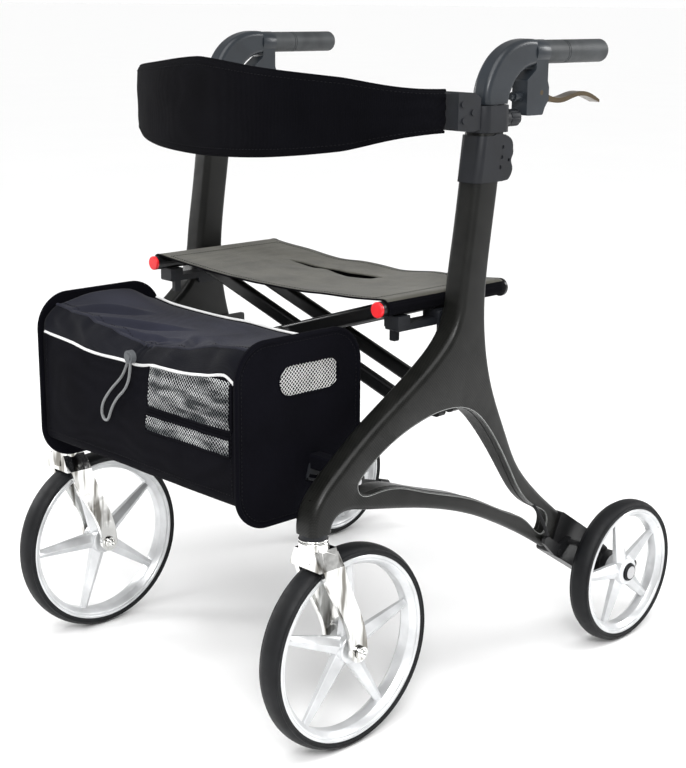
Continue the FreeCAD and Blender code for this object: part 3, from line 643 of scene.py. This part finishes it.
def make_backrest():
    low, high = box("backrest_strap")
    turns = [math.radians(-88 + 176 * k / 90) for k in range(91)]
    heights = [math.sin(math.radians(-90 + 180 * k / 22)) for k in range(23)]
    ring = [(h, 1) for h in heights] + [(h, -1) for h in heights[-2:0:-1]]
    points = [backrest_point(t, h, o) for t in turns for h, o in ring]
    faces = grid_faces(len(turns), len(ring), 0, True)
    last = len(points) - len(ring)
    faces += [tuple(range(len(ring) - 1, -1, -1)), tuple(range(last, len(points)))]
    pad = mesh_piece("backrest_pad", points, faces, "backrest_cloth")
    modifier(pad, "SUBSURF", levels=1, render_levels=1)
    finished(pad)
    trims = []
    for name, height in (("upper", 1.0), ("lower", -1.0)):
        edge = [backrest_point(t, height, 0) for t in turns]
        trims.append(as_mesh(tube_piece("backrest_piping_" + name, edge, 0.0019, "backrest_cloth")))
        for face_name, face in (("front", 1), ("back", -1)):
            seam = [backrest_point(t, height * 0.86, face * 1.04) for t in turns]
            trims.append(stitches("backrest_stitching_%s_%s" % (name, face_name), seam))
    keep = fold_keep(high[0], low[0])
    for piece in [pad] + trims:
        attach(piece, "left_frame")
        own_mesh(piece)
    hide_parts("backrest_strap")


# ---- bag ----

# Heights of the bag's front edge, its gathered hem and its back edge across the walker, in mm
FRONT_EDGE = [(-195, 455.5), (-181, 454.4), (-130, 451.3), (-78, 446.2), (-15, 447.5), (11, 446.8),
              (40, 451.6), (98, 453), (142, 458.2), (172, 464), (184, 460), (195, 453.5)]
HEM_EDGE = [(-195, 487), (-185, 485.8), (-131, 481.6), (-96, 476.7), (-59, 472.6), (-30, 466.6), (0, 464.6),
            (15, 465.1), (65, 470.7), (86, 473.5), (110, 480.4), (140, 486), (170, 490), (195, 491)]
BACK_EDGE = [(-195, 477), (-154, 472.5), (-86, 470.9), (-36, 471), (5, 472.4), (60, 471), (120, 472.5),
             (195, 477.5)]
# Height of the cover at the middle and at its sides, in mm
COVER_MIDDLE, COVER_SIDE = 467, 496
# Where the cover's gathered hem lies in front
HEM_Y = -0.330
# Radius of the bend from the bag's floor up to its front and back
BAG_BEND = 0.014
# The nets on the front: ends across the walker, then lowest and highest point
FRONT_NETS = (("upper", 0.034, 0.187, 0.401, 0.4600), ("lower", 0.030, 0.184, 0.371, 0.3925))
PIPING_RADIUS = 0.0019
# Long folds of the cover: foot x and y, direction, length, width, height
COVER_FOLDS = [(-0.165, -0.322, 1.05, 0.085, 0.0056, 0.0078), (-0.120, -0.326, 0.75, 0.110, 0.0060, 0.0070),
               (-0.070, -0.326, 0.45, 0.080, 0.0050, 0.0050), (0.060, -0.326, 2.30, 0.075, 0.0052, 0.0048),
               (0.125, -0.325, 2.55, 0.095, 0.0060, 0.0064), (0.165, -0.300, 2.00, 0.070, 0.0054, 0.0054)]


def edge_height(table, x):
    return smooth_table(x / MM, table) * MM


def bag_foot():
    """Height at which the bag's front and back rise from the bend."""
    return box("bag_shell")[0].z + BAG_BEND


def shell_path():
    """Front, floor and back of the bag as (part, y, z), with z as a share on the two upright runs."""
    (low, high), bend = box("bag_shell"), BAG_BEND
    steps = [("front", low.y, 1 - k / 42) for k in range(43)]
    for k in range(1, 6):
        a = math.radians(90 * k / 6)
        steps.append(("floor", low.y + bend * (1 - math.cos(a)), low.z + bend * (1 - math.sin(a))))
    steps += [("floor", low.y + bend + (high.y - low.y - 2 * bend) * k / 16, low.z) for k in range(17)]
    for k in range(1, 6):
        a = math.radians(90 * k / 6)
        steps.append(("floor", high.y - bend * (1 - math.sin(a)), low.z + bend * (1 - math.cos(a))))
    return steps + [("back", high.y, k / 24) for k in range(25)]


def front_point(x, share, out=0.0):
    """Point on the bag's front, share 0 at the floor bend and 1 at the piping."""
    (low, high), foot = box("bag_shell"), bag_foot()
    z = foot + (edge_height(FRONT_EDGE, x) - foot) * share
    held = 1 - abs(x / high.x) ** 6
    belly = 0.0042 * math.sin(math.pi * min(1, share * 1.02)) ** 0.8 * held
    soft = 0.0020 * crease(x, z, 11, 2.0) * held + 0.0007 * crease(x * 0.6, z, 42, 5.0) * held
    gather = 0.0012 * crease(x, z * 0.3, 34, 3.0) * max(0.0, share - 0.8) / 0.2
    return (x, low.y - 0.0004 - belly + soft + gather - out, z)


def make_bag_shell():
    low, high = box("bag_shell")
    columns = [low.x + (high.x - low.x) * k / 108 for k in range(109)]
    points = []
    path = shell_path()
    for part, y, z in path:
        for x in columns:
            held = 1 - abs(x / high.x) ** 6
            if part == "front":
                points.append(front_point(x, z))
            elif part == "floor":
                sag = 0.0030 * math.sin(math.pi * (y - low.y) / (high.y - low.y)) * held
                points.append((x, y, z - sag + 0.0012 * crease(x, y, 14, 3.0) * held))
            else:
                top, foot = edge_height(BACK_EDGE, x), bag_foot()
                soft = 0.0018 * crease(x, z, 12, 6.0) * held * math.sin(math.pi * min(1, z + 0.05))
                points.append((x, y + soft - 0.0010, foot + (top - foot) * z))
    shell = mesh_piece("bag_shell_cloth", points, grid_faces(len(path), len(columns)), "bag_cloth")
    thicken(shell, 0.0018, 1.0)
    edges = (("front", [front_point(x, 1.0, -0.0008) for x in columns[1:-1]]),
             ("back", [(x, high.y - 0.0006, edge_height(BACK_EDGE, x) + 0.0006) for x in columns[1:-1]]))
    trims = [as_mesh(tube_piece("bag_piping_" + name, edge, PIPING_RADIUS, "piping"))
             for name, edge in edges]
    for name, x0, x1, z0, z1 in FRONT_NETS:
        trims.append(front_net("bag_front_net_" + name, x0, x1, z0, z1))
        trims += net_border("bag_front_net_%s_border" % name, x0, x1, z0, z1)
    trims.append(stitches("bag_seam_floor", [front_point(x, 0.02, 0.001) for x in columns]))
    for side in (-1, 1):
        seam = [front_point(side * 0.186, k / 60, 0.0012) for k in range(61)]
        trims.append(stitches("bag_side_stitching_" + side_name(side), seam))
    for piece in [shell] + trims:
        gathers(piece, high.x)
    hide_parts("bag_shell")


def share_at(x, z):
    """Share of the way from the bend up to the piping, which front_point takes."""
    foot = bag_foot()
    return (z - foot) / (edge_height(FRONT_EDGE, x) - foot)


def net(name, place, width, height, cell, inside, thread, look):
    """Knitted net: a lattice of diamonds where inside(u, v) holds, bent by place(u, v)."""
    across, up = int(width / cell), int(height / cell)
    points, faces, index = [], [], {}

    def point(i, j):
        key = (i, j)
        if key not in index:
            u, v = i * cell / 2, j * cell / 2
            wobble = 0.22 * cell
            u += wobble * crease(u, v, 60, 1.0)
            v += wobble * crease(u, v, 60, 7.0)
            index[key] = len(points)
            points.append(place(u, v))
        return index[key]

    for i in range(1, 2 * across):
        for j in range(1 + (i + 1) % 2, 2 * up, 2):
            if inside(i * cell / 2, j * cell / 2):
                faces.append((point(i - 1, j), point(i, j - 1), point(i + 1, j), point(i, j + 1)))
    piece = mesh_piece(name, points, faces, look, smooth=False)
    modifier(piece, "WIREFRAME", thickness=thread, use_even_offset=False, use_boundary=True)
    return finished(piece)


def front_net(name, x0, x1, z0, z1):
    def place(u, v):
        x, z = x0 + u, z0 + v
        return front_point(x, share_at(x, z), 0.0012 + 0.0016 * crease(x * 0.7, z * 1.6, 55, 9.0))

    def below_piping(u, v):
        return share_at(x0 + u, z0 + v) < 0.985

    return net(name, place, x1 - x0, z1 - z0, 0.0048, below_piping, 0.00062, "net_grey")


def net_border(name, x0, x1, z0, z1):
    """Tape sewn round the net, apart from a side that the piping covers."""
    sides = []
    corners = [(x0, z0), (x1, z0), (x1, z1), (x0, z1)]
    for k, ((xa, za), (xb, zb)) in enumerate(zip(corners, corners[1:] + corners[:1])):
        if min(share_at(xa, za), share_at(xb, zb)) > 1:
            continue
        route = []
        for step in range(25):
            x, z = xa + (xb - xa) * step / 24, za + (zb - za) * step / 24
            route.append(front_point(x, min(share_at(x, z), 0.99), 0.0010))
        sides.append(as_mesh(tube_piece("%s_%d" % (name, k), route, 0.0014, "bag_cloth")))
    return sides


def cover_height(x, y):
    """Height of the cover before its folds are added."""
    high = box("bag_cover")[1]
    t = (y - HEM_Y) / (high[1] - HEM_Y)
    side = abs(x / high[0])
    rise = (COVER_SIDE - COVER_MIDDLE) * side ** 2.3
    middle = (COVER_MIDDLE + rise) * MM
    heights = [(0, edge_height(HEM_EDGE, x)), (0.35, middle), (0.75, middle + 0.001 - 0.004 * side),
               (1, edge_height(BACK_EDGE, x) - 0.0015)]
    return smooth_table(t, heights)


def slant_fold(x, y, foot_x, foot_y, turn, length, width, height):
    """One long ridge of cloth from a foot point, with a hollow on its near side."""
    way = Vector((math.cos(turn), math.sin(turn)))
    off = Vector((x - foot_x, y - foot_y))
    along, aside = off.dot(way) / length, (off.x * way.y - off.y * way.x) / width
    if not -0.3 < along < 1.3:
        return 0.0
    run = math.sin(math.pi * (along + 0.3) / 1.6) ** 2
    return height * run * (math.exp(-aside * aside) - 0.7 * math.exp(-((aside - 1.7) ** 2)))


def folds(x, y):
    """Creases of the soft cover: slow swells, long slanting folds, and a fan of them at the cord lock."""
    lock = Vector((0.0035, HEM_Y - 0.004))
    away = Vector((x, y)) - lock
    turn = math.atan2(away.y, away.x)
    radial = math.sin(turn * 9 + 2.0 * crease(x, y, 6, 3.0)) * math.exp(-away.length / 0.040)
    ridge = max(0.0, 1 - 2.6 * abs(crease(x + 0.4 * y, y * 0.7, 11, 2.0)))
    height = 0.0026 * crease(x, y, 8, 1.0) + 0.0013 * ridge + 0.0022 * radial
    for fold in COVER_FOLDS:
        height += slant_fold(x, y, *fold)
    return height


def make_bag_cover():
    low, high = box("bag_cover")
    x0, x1, rear = low[0], high[0], high[1]
    columns = [x0 + (x1 - x0) * k / 150 for k in range(151)]

    def cover(x, t):
        y = HEM_Y + (rear - HEM_Y) * t
        edge = 1 - abs(x / x1) ** 10
        pinned = min(1.0, (1 - t) / 0.12)
        wave = 0.0024 * crease(x, 0, 22, 6.0) * max(0.0, 1 - t / 0.1)
        return (x, y + wave, cover_height(x, y) + folds(x, y) * edge * pinned)

    rows = 70
    points = [cover(x, i / (rows - 1)) for i in range(rows) for x in columns]
    top = mesh_piece("bag_cover_cloth", points, grid_faces(rows, len(columns)), "bag_top_cloth")
    thicken(top, 0.0010)

    def collar(x, t):
        a, b = Vector(front_point(x, 1.0, -0.0010)), Vector(cover(x, 0.0))
        swell = math.sin(math.pi * t)
        wide = crease(x - 0.03 * t, t * 0.03, 17, 5.0)
        narrow = crease(x + 0.05 * t, t * 0.04, 38, 2.0)
        slack = 0.0046 * wide + 0.0030 * narrow
        rise = 0.0036 * swell + 0.0012 * crease(x, t * 0.05, 26, 4.0)
        p = a.lerp(b, t)
        return (p.x, p.y - 0.0032 * swell + slack * swell, p.z + rise)

    points = [collar(x, i / 13) for i in range(14) for x in columns]
    band = mesh_piece("bag_collar_cloth", points, grid_faces(14, len(columns)), "bag_collar")
    thicken(band, 0.0010)
    hem = [(x, cover(x, 0.0)[1] - 0.0006, cover(x, 0.0)[2] + 0.0004) for x in columns]
    channel = as_mesh(tube_piece("bag_hem_channel", hem, 0.0022, "bag_top_cloth"))
    lift = Vector((0, 0, 0.0009))
    seam = stitches("bag_hem_stitching", [Vector(cover(x, 0.055)) + lift for x in columns])
    for piece in (top, band, channel, seam):
        gathers(piece, x1)
    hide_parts("bag_cover")


def rounded_outline(y0, y1, z0, z1, radius, steps):
    """Closed outline of a rectangle with round corners, in the YZ plane."""
    points = []
    for cy, cz, start in ((y1 - radius, z1 - radius, 0), (y0 + radius, z1 - radius, 90),
                          (y0 + radius, z0 + radius, 180), (y1 - radius, z0 + radius, 270)):
        for k in range(steps + 1):
            a = math.radians(start + 90 * k / steps)
            points.append((cy + radius * math.cos(a), cz + radius * math.sin(a)))
    return points


# Radius of a panel's corners, how far in its binding and stitches run, and the binding's radius
PANEL_CORNER, BINDING_INSET, PANEL_SEAM_INSET, BINDING_RADIUS = 0.046, 0.0026, 0.008, 0.0030
# Front, rear, lowest and highest edge of the window in a side panel, and the width of its rim
WINDOW, WINDOW_RIM = (-0.294, -0.200, 0.432, 0.468), 0.001
BUCKLE_Y, BUCKLE_Z = -0.2385, 0.334


def panel_outline(low, high, inset):
    """Outline of a side panel, drawn in by inset."""
    return rounded_outline(low[1] + inset, high[1] - inset, low[2] + inset, high[2] - inset,
                           PANEL_CORNER - inset, 12)


def make_bag_panels():
    for side, sign in SIDES:
        low, high = box(side + "_bag_panel")
        inner = low[0] if sign > 0 else high[0]
        middle = inner + sign * BINDING_INSET
        outer = inner + sign * 0.004
        outline = panel_outline(low, high, BINDING_INSET)
        bound = tube_piece(side + "_panel_binding", [(middle, y, z) for y, z in outline], BINDING_RADIUS,
                           "bag_cloth", closed=True, smooth_path=False)
        inset = panel_outline(low, high, PANEL_SEAM_INSET)
        seam_line = [(outer + sign * 0.0003, y, z) for y, z in inset + inset[:1]]
        seam = stitches(side + "_panel_stitching", seam_line)
        pieces = [bound, seam]
        y0, y1, z0, z1 = WINDOW

        def in_oval(u, v):
            radius = (z1 - z0) / 2
            cu = min(max(u, radius), (y1 - y0) - radius)
            return math.hypot(u - cu, v - radius) < radius - 0.0004

        def place(u, v):
            return (outer - sign * (0.0007 - 0.0005 * crease(u, v, 50, 3.0)), y0 + u, z0 + v)

        pieces.append(net(side + "_panel_net", place, y1 - y0, z1 - z0, 0.0050, in_oval, 0.0010, "net_pale"))
        rim = rounded_outline(y0 - WINDOW_RIM, y1 + WINDOW_RIM, z0 - WINDOW_RIM, z1 + WINDOW_RIM, 0.0188, 10)
        rim = [(outer - sign * 0.0002, y, z) for y, z in rim]
        pieces.append(tube_piece(side + "_panel_window_edge", rim, 0.0013, "bag_cloth", closed=True,
                                 smooth_path=False))
        pieces.append(buckle(side + "_panel_buckle", outer, sign))
        for piece in pieces:
            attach(piece, side + "_frame")


def buckle(name, face, sign):
    """Square moulded loop sewn to the panel, with its short strap across it."""
    made = bmesh.new()
    centre = Vector((face, BUCKLE_Y, BUCKLE_Z))
    tilt = Matrix.Rotation(math.radians(-18 * sign), 4, "X")

    def block(size, offset):
        part = bmesh.ops.create_cube(made, size=1.0)
        bmesh.ops.scale(made, vec=size, verts=part["verts"])
        bmesh.ops.translate(made, vec=offset, verts=part["verts"])

    half, bar, thick = 0.0125, 0.0032, 0.0030
    for way in (-1, 1):
        block((thick, 2 * half, bar), (0, 0, way * (half - bar / 2)))
        block((thick, bar, 2 * half), (0, way * (half - bar / 2), 0))
    block((0.0022, 2 * half - 0.006, 0.010), (0, 0, 0))
    place = Matrix.Translation(centre + Vector((sign * 0.0012, 0, 0))) @ tilt
    bmesh.ops.transform(made, matrix=place, verts=made.verts)
    mesh = bpy.data.meshes.new(name)
    made.to_mesh(mesh)
    made.free()
    piece = new_object(name, mesh, "black_moulding")
    modifier(piece, "BEVEL", width=0.0007, segments=2)
    return piece


# ---- hard details ----

# Edges below LEG_TOP carry a bead, between a face that points outwards by at least OUTWARD and a wall
# tilted by at most WALL_TILT, where the run is longer than SHORTEST_BEAD
LEG_TOP, OUTWARD, WALL_TILT, SHORTEST_BEAD = 0.400, 0.8, 0.45, 0.09
# Sections of turned details as (radius, distance along the axis), measured from the rim and the tyre's flank
TYRE_BEAD = [(0.0045, -0.0012), (0.0048, 0.0004), (0.0060, 0.0006), (0.0068, -0.0010), (0.0060, -0.0030)]
RIM_LIP = [(-0.0046, -0.0045), (-0.0040, -0.0012), (-0.0022, -0.0002), (-0.0004, -0.0006), (0.0014, -0.0024)]
# The same from the wheel's axis, and for the head ring from the bearing's foot
HUB_CAP = [(0.0124, 0.0002), (0.0122, 0.0030), (0.0108, 0.0042), (0.0056, 0.0046), (0.0, 0.0047)]
HUB_RING = [(0.0158, -0.0012), (0.0156, 0.0004), (0.0136, 0.0008), (0.0120, 0.0002)]
HEAD_RING = [(0.0150, 0.0004), (0.0176, 0.0004), (0.0180, 0.0014), (0.0176, 0.0024), (0.0150, 0.0024)]


def lathe(name, centre, axis, profile, look, body, slot, segments=48, ring=False):
    """Turned piece. Its profile is (radius, distance along the axis), from end to end or round a ring."""
    axis = Vector(axis).normalized()
    side = axis.cross(Vector((0.2, 0.3, 0.9))).normalized()
    other = axis.cross(side)
    points, faces = [], []
    for radius, along in profile:
        for k in range(segments):
            a = 2 * math.pi * k / segments
            outward = side * math.cos(a) + other * math.sin(a)
            points.append(Vector(centre) + axis * along + outward * radius)
    faces = grid_faces(len(profile), segments, 0, True)
    if ring:
        last = len(points) - segments
        faces += [(last + k, last + (k + 1) % segments, (k + 1) % segments, k) for k in range(segments)]
    else:
        faces.append(tuple(range(segments - 1, -1, -1)))
    piece = mesh_piece(name, points, faces, look)
    modifier(piece, "WELD", merge_threshold=1e-6)
    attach(piece, body)


def screw(name, centre, axis, radius, body):
    """Domed chrome screw head with a round socket."""
    shape = [(1, 0), (1, 0.25), (0.86, 0.5), (0.5, 0.66), (0.46, 0.66), (0.44, 0.2), (0, 0.2)]
    profile = [(radius * across, radius * up) for across, up in shape]
    lathe(name, centre, axis, profile, "chrome", body, "chrome", 24)


def moved(profile, radius, along):
    return [(radius + r, along + a) for r, a in profile]


def make_wheel_details():
    for side, sign in SIDES:
        for end in ("front", "rear"):
            low, high = box("%s_%s_tyre" % (side, end))
            rim_low, rim_high = box("%s_%s_rim" % (side, end))
            centre = Vector([(low[i] + high[i]) / 2 for i in range(3)])
            half = (high[0] - low[0]) / 2
            rim_radius = (rim_high[2] - rim_low[2]) / 2
            body = "%s_%s_wheel" % (side, end)
            for face in (-1, 1):
                label = "%s_%s_%s" % (side, end, "outer" if face == sign else "inner")
                for name, section, look in (("_tyre_bead", TYRE_BEAD, "tyre"),
                                            ("_rim_lip", RIM_LIP, "rim_silver")):
                    profile = moved(section, rim_radius, half)
                    lathe(label + name, centre, (face, 0, 0), profile, look, body, look, 96, ring=True)
            if end == "rear":
                lathe(side + "_rear_hub_cap", centre, (sign, 0, 0), moved(HUB_CAP, 0.0, half),
                      "tyre", body, "black_moulding")
                lathe(side + "_rear_hub_ring", centre, (sign, 0, 0), moved(HUB_RING, 0.0, half),
                      "rim_silver", body, "rim_silver", ring=True)


def make_fork_details():
    for side, sign in SIDES:
        low, high = box(side + "_front_axle")
        y, z = (low[1] + high[1]) / 2, (low[2] + high[2]) / 2
        for face in (-1, 1):
            end = high[0] if face > 0 else low[0]
            name = "%s_axle_screw_%s" % (side, "outer" if face == sign else "inner")
            screw(name, (end - face * 0.0002, y, z), (face, 0, 0), 0.0052, side + "_caster")
        head = box(side + "_head_bearing")
        steer = Vector(((head[0][0] + head[1][0]) / 2, (head[0][1] + head[1][1]) / 2, head[0][2]))
        lathe(side + "_head_ring", steer, (0, 0, 1), HEAD_RING, "chrome", side + "_frame", "chrome",
              ring=True)


def frame_chains(side, sign):
    """Sharp outer edges of the two legs and the brace, as runs of (point, way into the moulding)."""
    node = frame["nodes"][side + "_side_frame"]
    shape = bmesh.new()
    shape.from_mesh(node.data)
    bmesh.ops.remove_doubles(shape, verts=shape.verts, dist=1e-5)
    bmesh.ops.transform(shape, matrix=node.matrix_world, verts=shape.verts)
    shape.normal_update()
    links = {}
    for edge in shape.edges:
        if len(edge.link_faces) != 2 or max(v.co.z for v in edge.verts) > LEG_TOP:
            continue
        outer, wall = sorted((face.normal for face in edge.link_faces), key=lambda n: -n.x * sign)
        if outer.x * sign < OUTWARD or abs(wall.x) > WALL_TILT:
            continue
        inward = -(outer + wall).normalized()
        a, b = edge.verts
        links.setdefault(a, []).append((b, inward))
        links.setdefault(b, []).append((a, inward))
    chains, seen = [], set()
    for start in sorted(links, key=lambda v: (len(links[v]), v.index)):
        if start in seen:
            continue
        chain, here = [], start
        while here is not None:
            seen.add(here)
            chain.append((here.co.copy(), links[here][0][1].copy()))
            here = next((other for other, _ in links[here] if other not in seen), None)
        if sum((p - q).length for (p, _), (q, _) in zip(chain, chain[1:])) > SHORTEST_BEAD:
            chains.append(chain)
    shape.free()
    return chains


def make_frame_beads():
    """Fine glossy bead on the edges of frame_chains, pale grey as a painted highlight along the edge, and a rib
    along the wall behind it.
    """
    for side, sign in SIDES:
        for k, chain in enumerate(frame_chains(side, sign)):
            for name, behind, sunk, radius, look in (("bead", 0.0, 0.0013, 0.0010, "painted_highlight_edge"),
                                                     ("rib", 0.0100, 0.0004, 0.0011, "carbon")):
                route = [p + inward * sunk - Vector((sign * behind, 0, 0)) for p, inward in chain]
                loop = (chain[0][0] - chain[-1][0]).length < 0.02
                title = "%s_frame_%s_%d" % (side, name, k)
                bead = tube_piece(title, route, radius, look, loop, smooth_path=False)
                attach(bead, side + "_frame")


def soften_nodes():
    """Rounds the sharp edges of the CAD nodes, so that they catch the light as moulded ones do."""
    widths = {"side_frame": 0.0022, "column_cap": 0.0008, "clamp_collar": 0.0012, "backrest_bracket": 0.0010,
              "brake_housing": 0.0008, "rail_saddle": 0.0008, "pivot_bracket": 0.0008,
              "rear_bracket": 0.0014, "caster_fork": 0.0020, "brake_lever": 0.0012, "clamp_knob": 0.0006,
              "brake_arm": 0.0006, "front_rim": 0.0009, "rear_rim": 0.0008, "rail_cap": 0.0006,
              "bag_panel": 0.0006}
    for side, _ in SIDES:
        for name, width in widths.items():
            node = frame["nodes"]["%s_%s" % (side, name)]
            modifier(node, "WELD", merge_threshold=1e-5)
            modifier(node, "BEVEL", width=width, segments=3, limit_method="ANGLE",
                     angle_limit=math.radians(38), harden_normals=True)


# ---- stage ----

def area_light(name, place, target, size, power):
    data = bpy.data.lights.new(name, "AREA")
    data.shape, data.size, data.energy = "DISK", size, power
    light = bpy.data.objects.new(name, data)
    light.location = place
    light.rotation_euler = (Vector(target) - Vector(place)).to_track_quat("-Z", "Y").to_euler()
    bpy.context.scene.collection.objects.link(light)


def make_stage():
    reach = 600
    corners = [(-reach, -reach, 0), (reach, -reach, 0), (reach, reach, 0), (-reach, reach, 0)]
    floor = mesh_piece("floor", corners, [(0, 1, 2, 3)], None, smooth=False)
    look = Look("floor_pale", 0.55)
    look.colour(look.ramp(look.noise(1.5, 3), (0.945, 0.945, 0.945), (0.955, 0.955, 0.953)))
    look.bump(look.noise(140, 2), 0.02, 0.0002)
    floor.data.materials.append(look.material)
    bpy.context.scene.view_settings.view_transform = "Standard"
    world = bpy.data.worlds.new("studio")
    world.use_nodes = True
    nodes, links = world.node_tree.nodes, world.node_tree.links
    split, height = nodes.new("ShaderNodeSeparateXYZ"), nodes.new("ShaderNodeMapRange")
    for socket, value in (("From Min", 0.0), ("From Max", 0.25), ("To Min", 1.0), ("To Max", 0.42)):
        height.inputs[socket].default_value = value
    links.new(nodes.new("ShaderNodeTexCoord").outputs["Generated"], split.inputs[0])
    links.new(split.outputs["Z"], height.inputs["Value"])
    links.new(height.outputs["Result"], nodes["Background"].inputs["Strength"])
    nodes["Background"].inputs["Color"].default_value = (1, 1, 1, 1)
    bpy.context.scene.world = world
    sun = bpy.data.lights.new("daylight", "SUN")
    sun.energy, sun.angle = 2.5, math.radians(55)
    lamp = bpy.data.objects.new("daylight", sun)
    above, aim = Vector((0.9, -1.3, 3.2)), Vector((0, 0, 0.3))
    lamp.rotation_euler = (aim - above).to_track_quat("-Z", "Y").to_euler()
    bpy.context.scene.collection.objects.link(lamp)
    area_light("key", (1.9, -1.7, 2.0), (0, 0, 0.45), 0.9, 38)
    area_light("side", (-2.4, -1.0, 1.3), (0, 0, 0.45), 0.9, 26)
    area_light("back", (1.4, 2.2, 1.7), (0, 0, 0.5), 1.0, 30)


# ---- making ----

make_camera()
make_drawcord()
dress_cad_nodes()
make_seat()
make_backrest()
make_bag_shell()
make_bag_cover()
make_bag_panels()
make_wheel_details()
make_fork_details()
make_frame_beads()
soften_nodes()
make_stage()

bpy.context.view_layer.update()
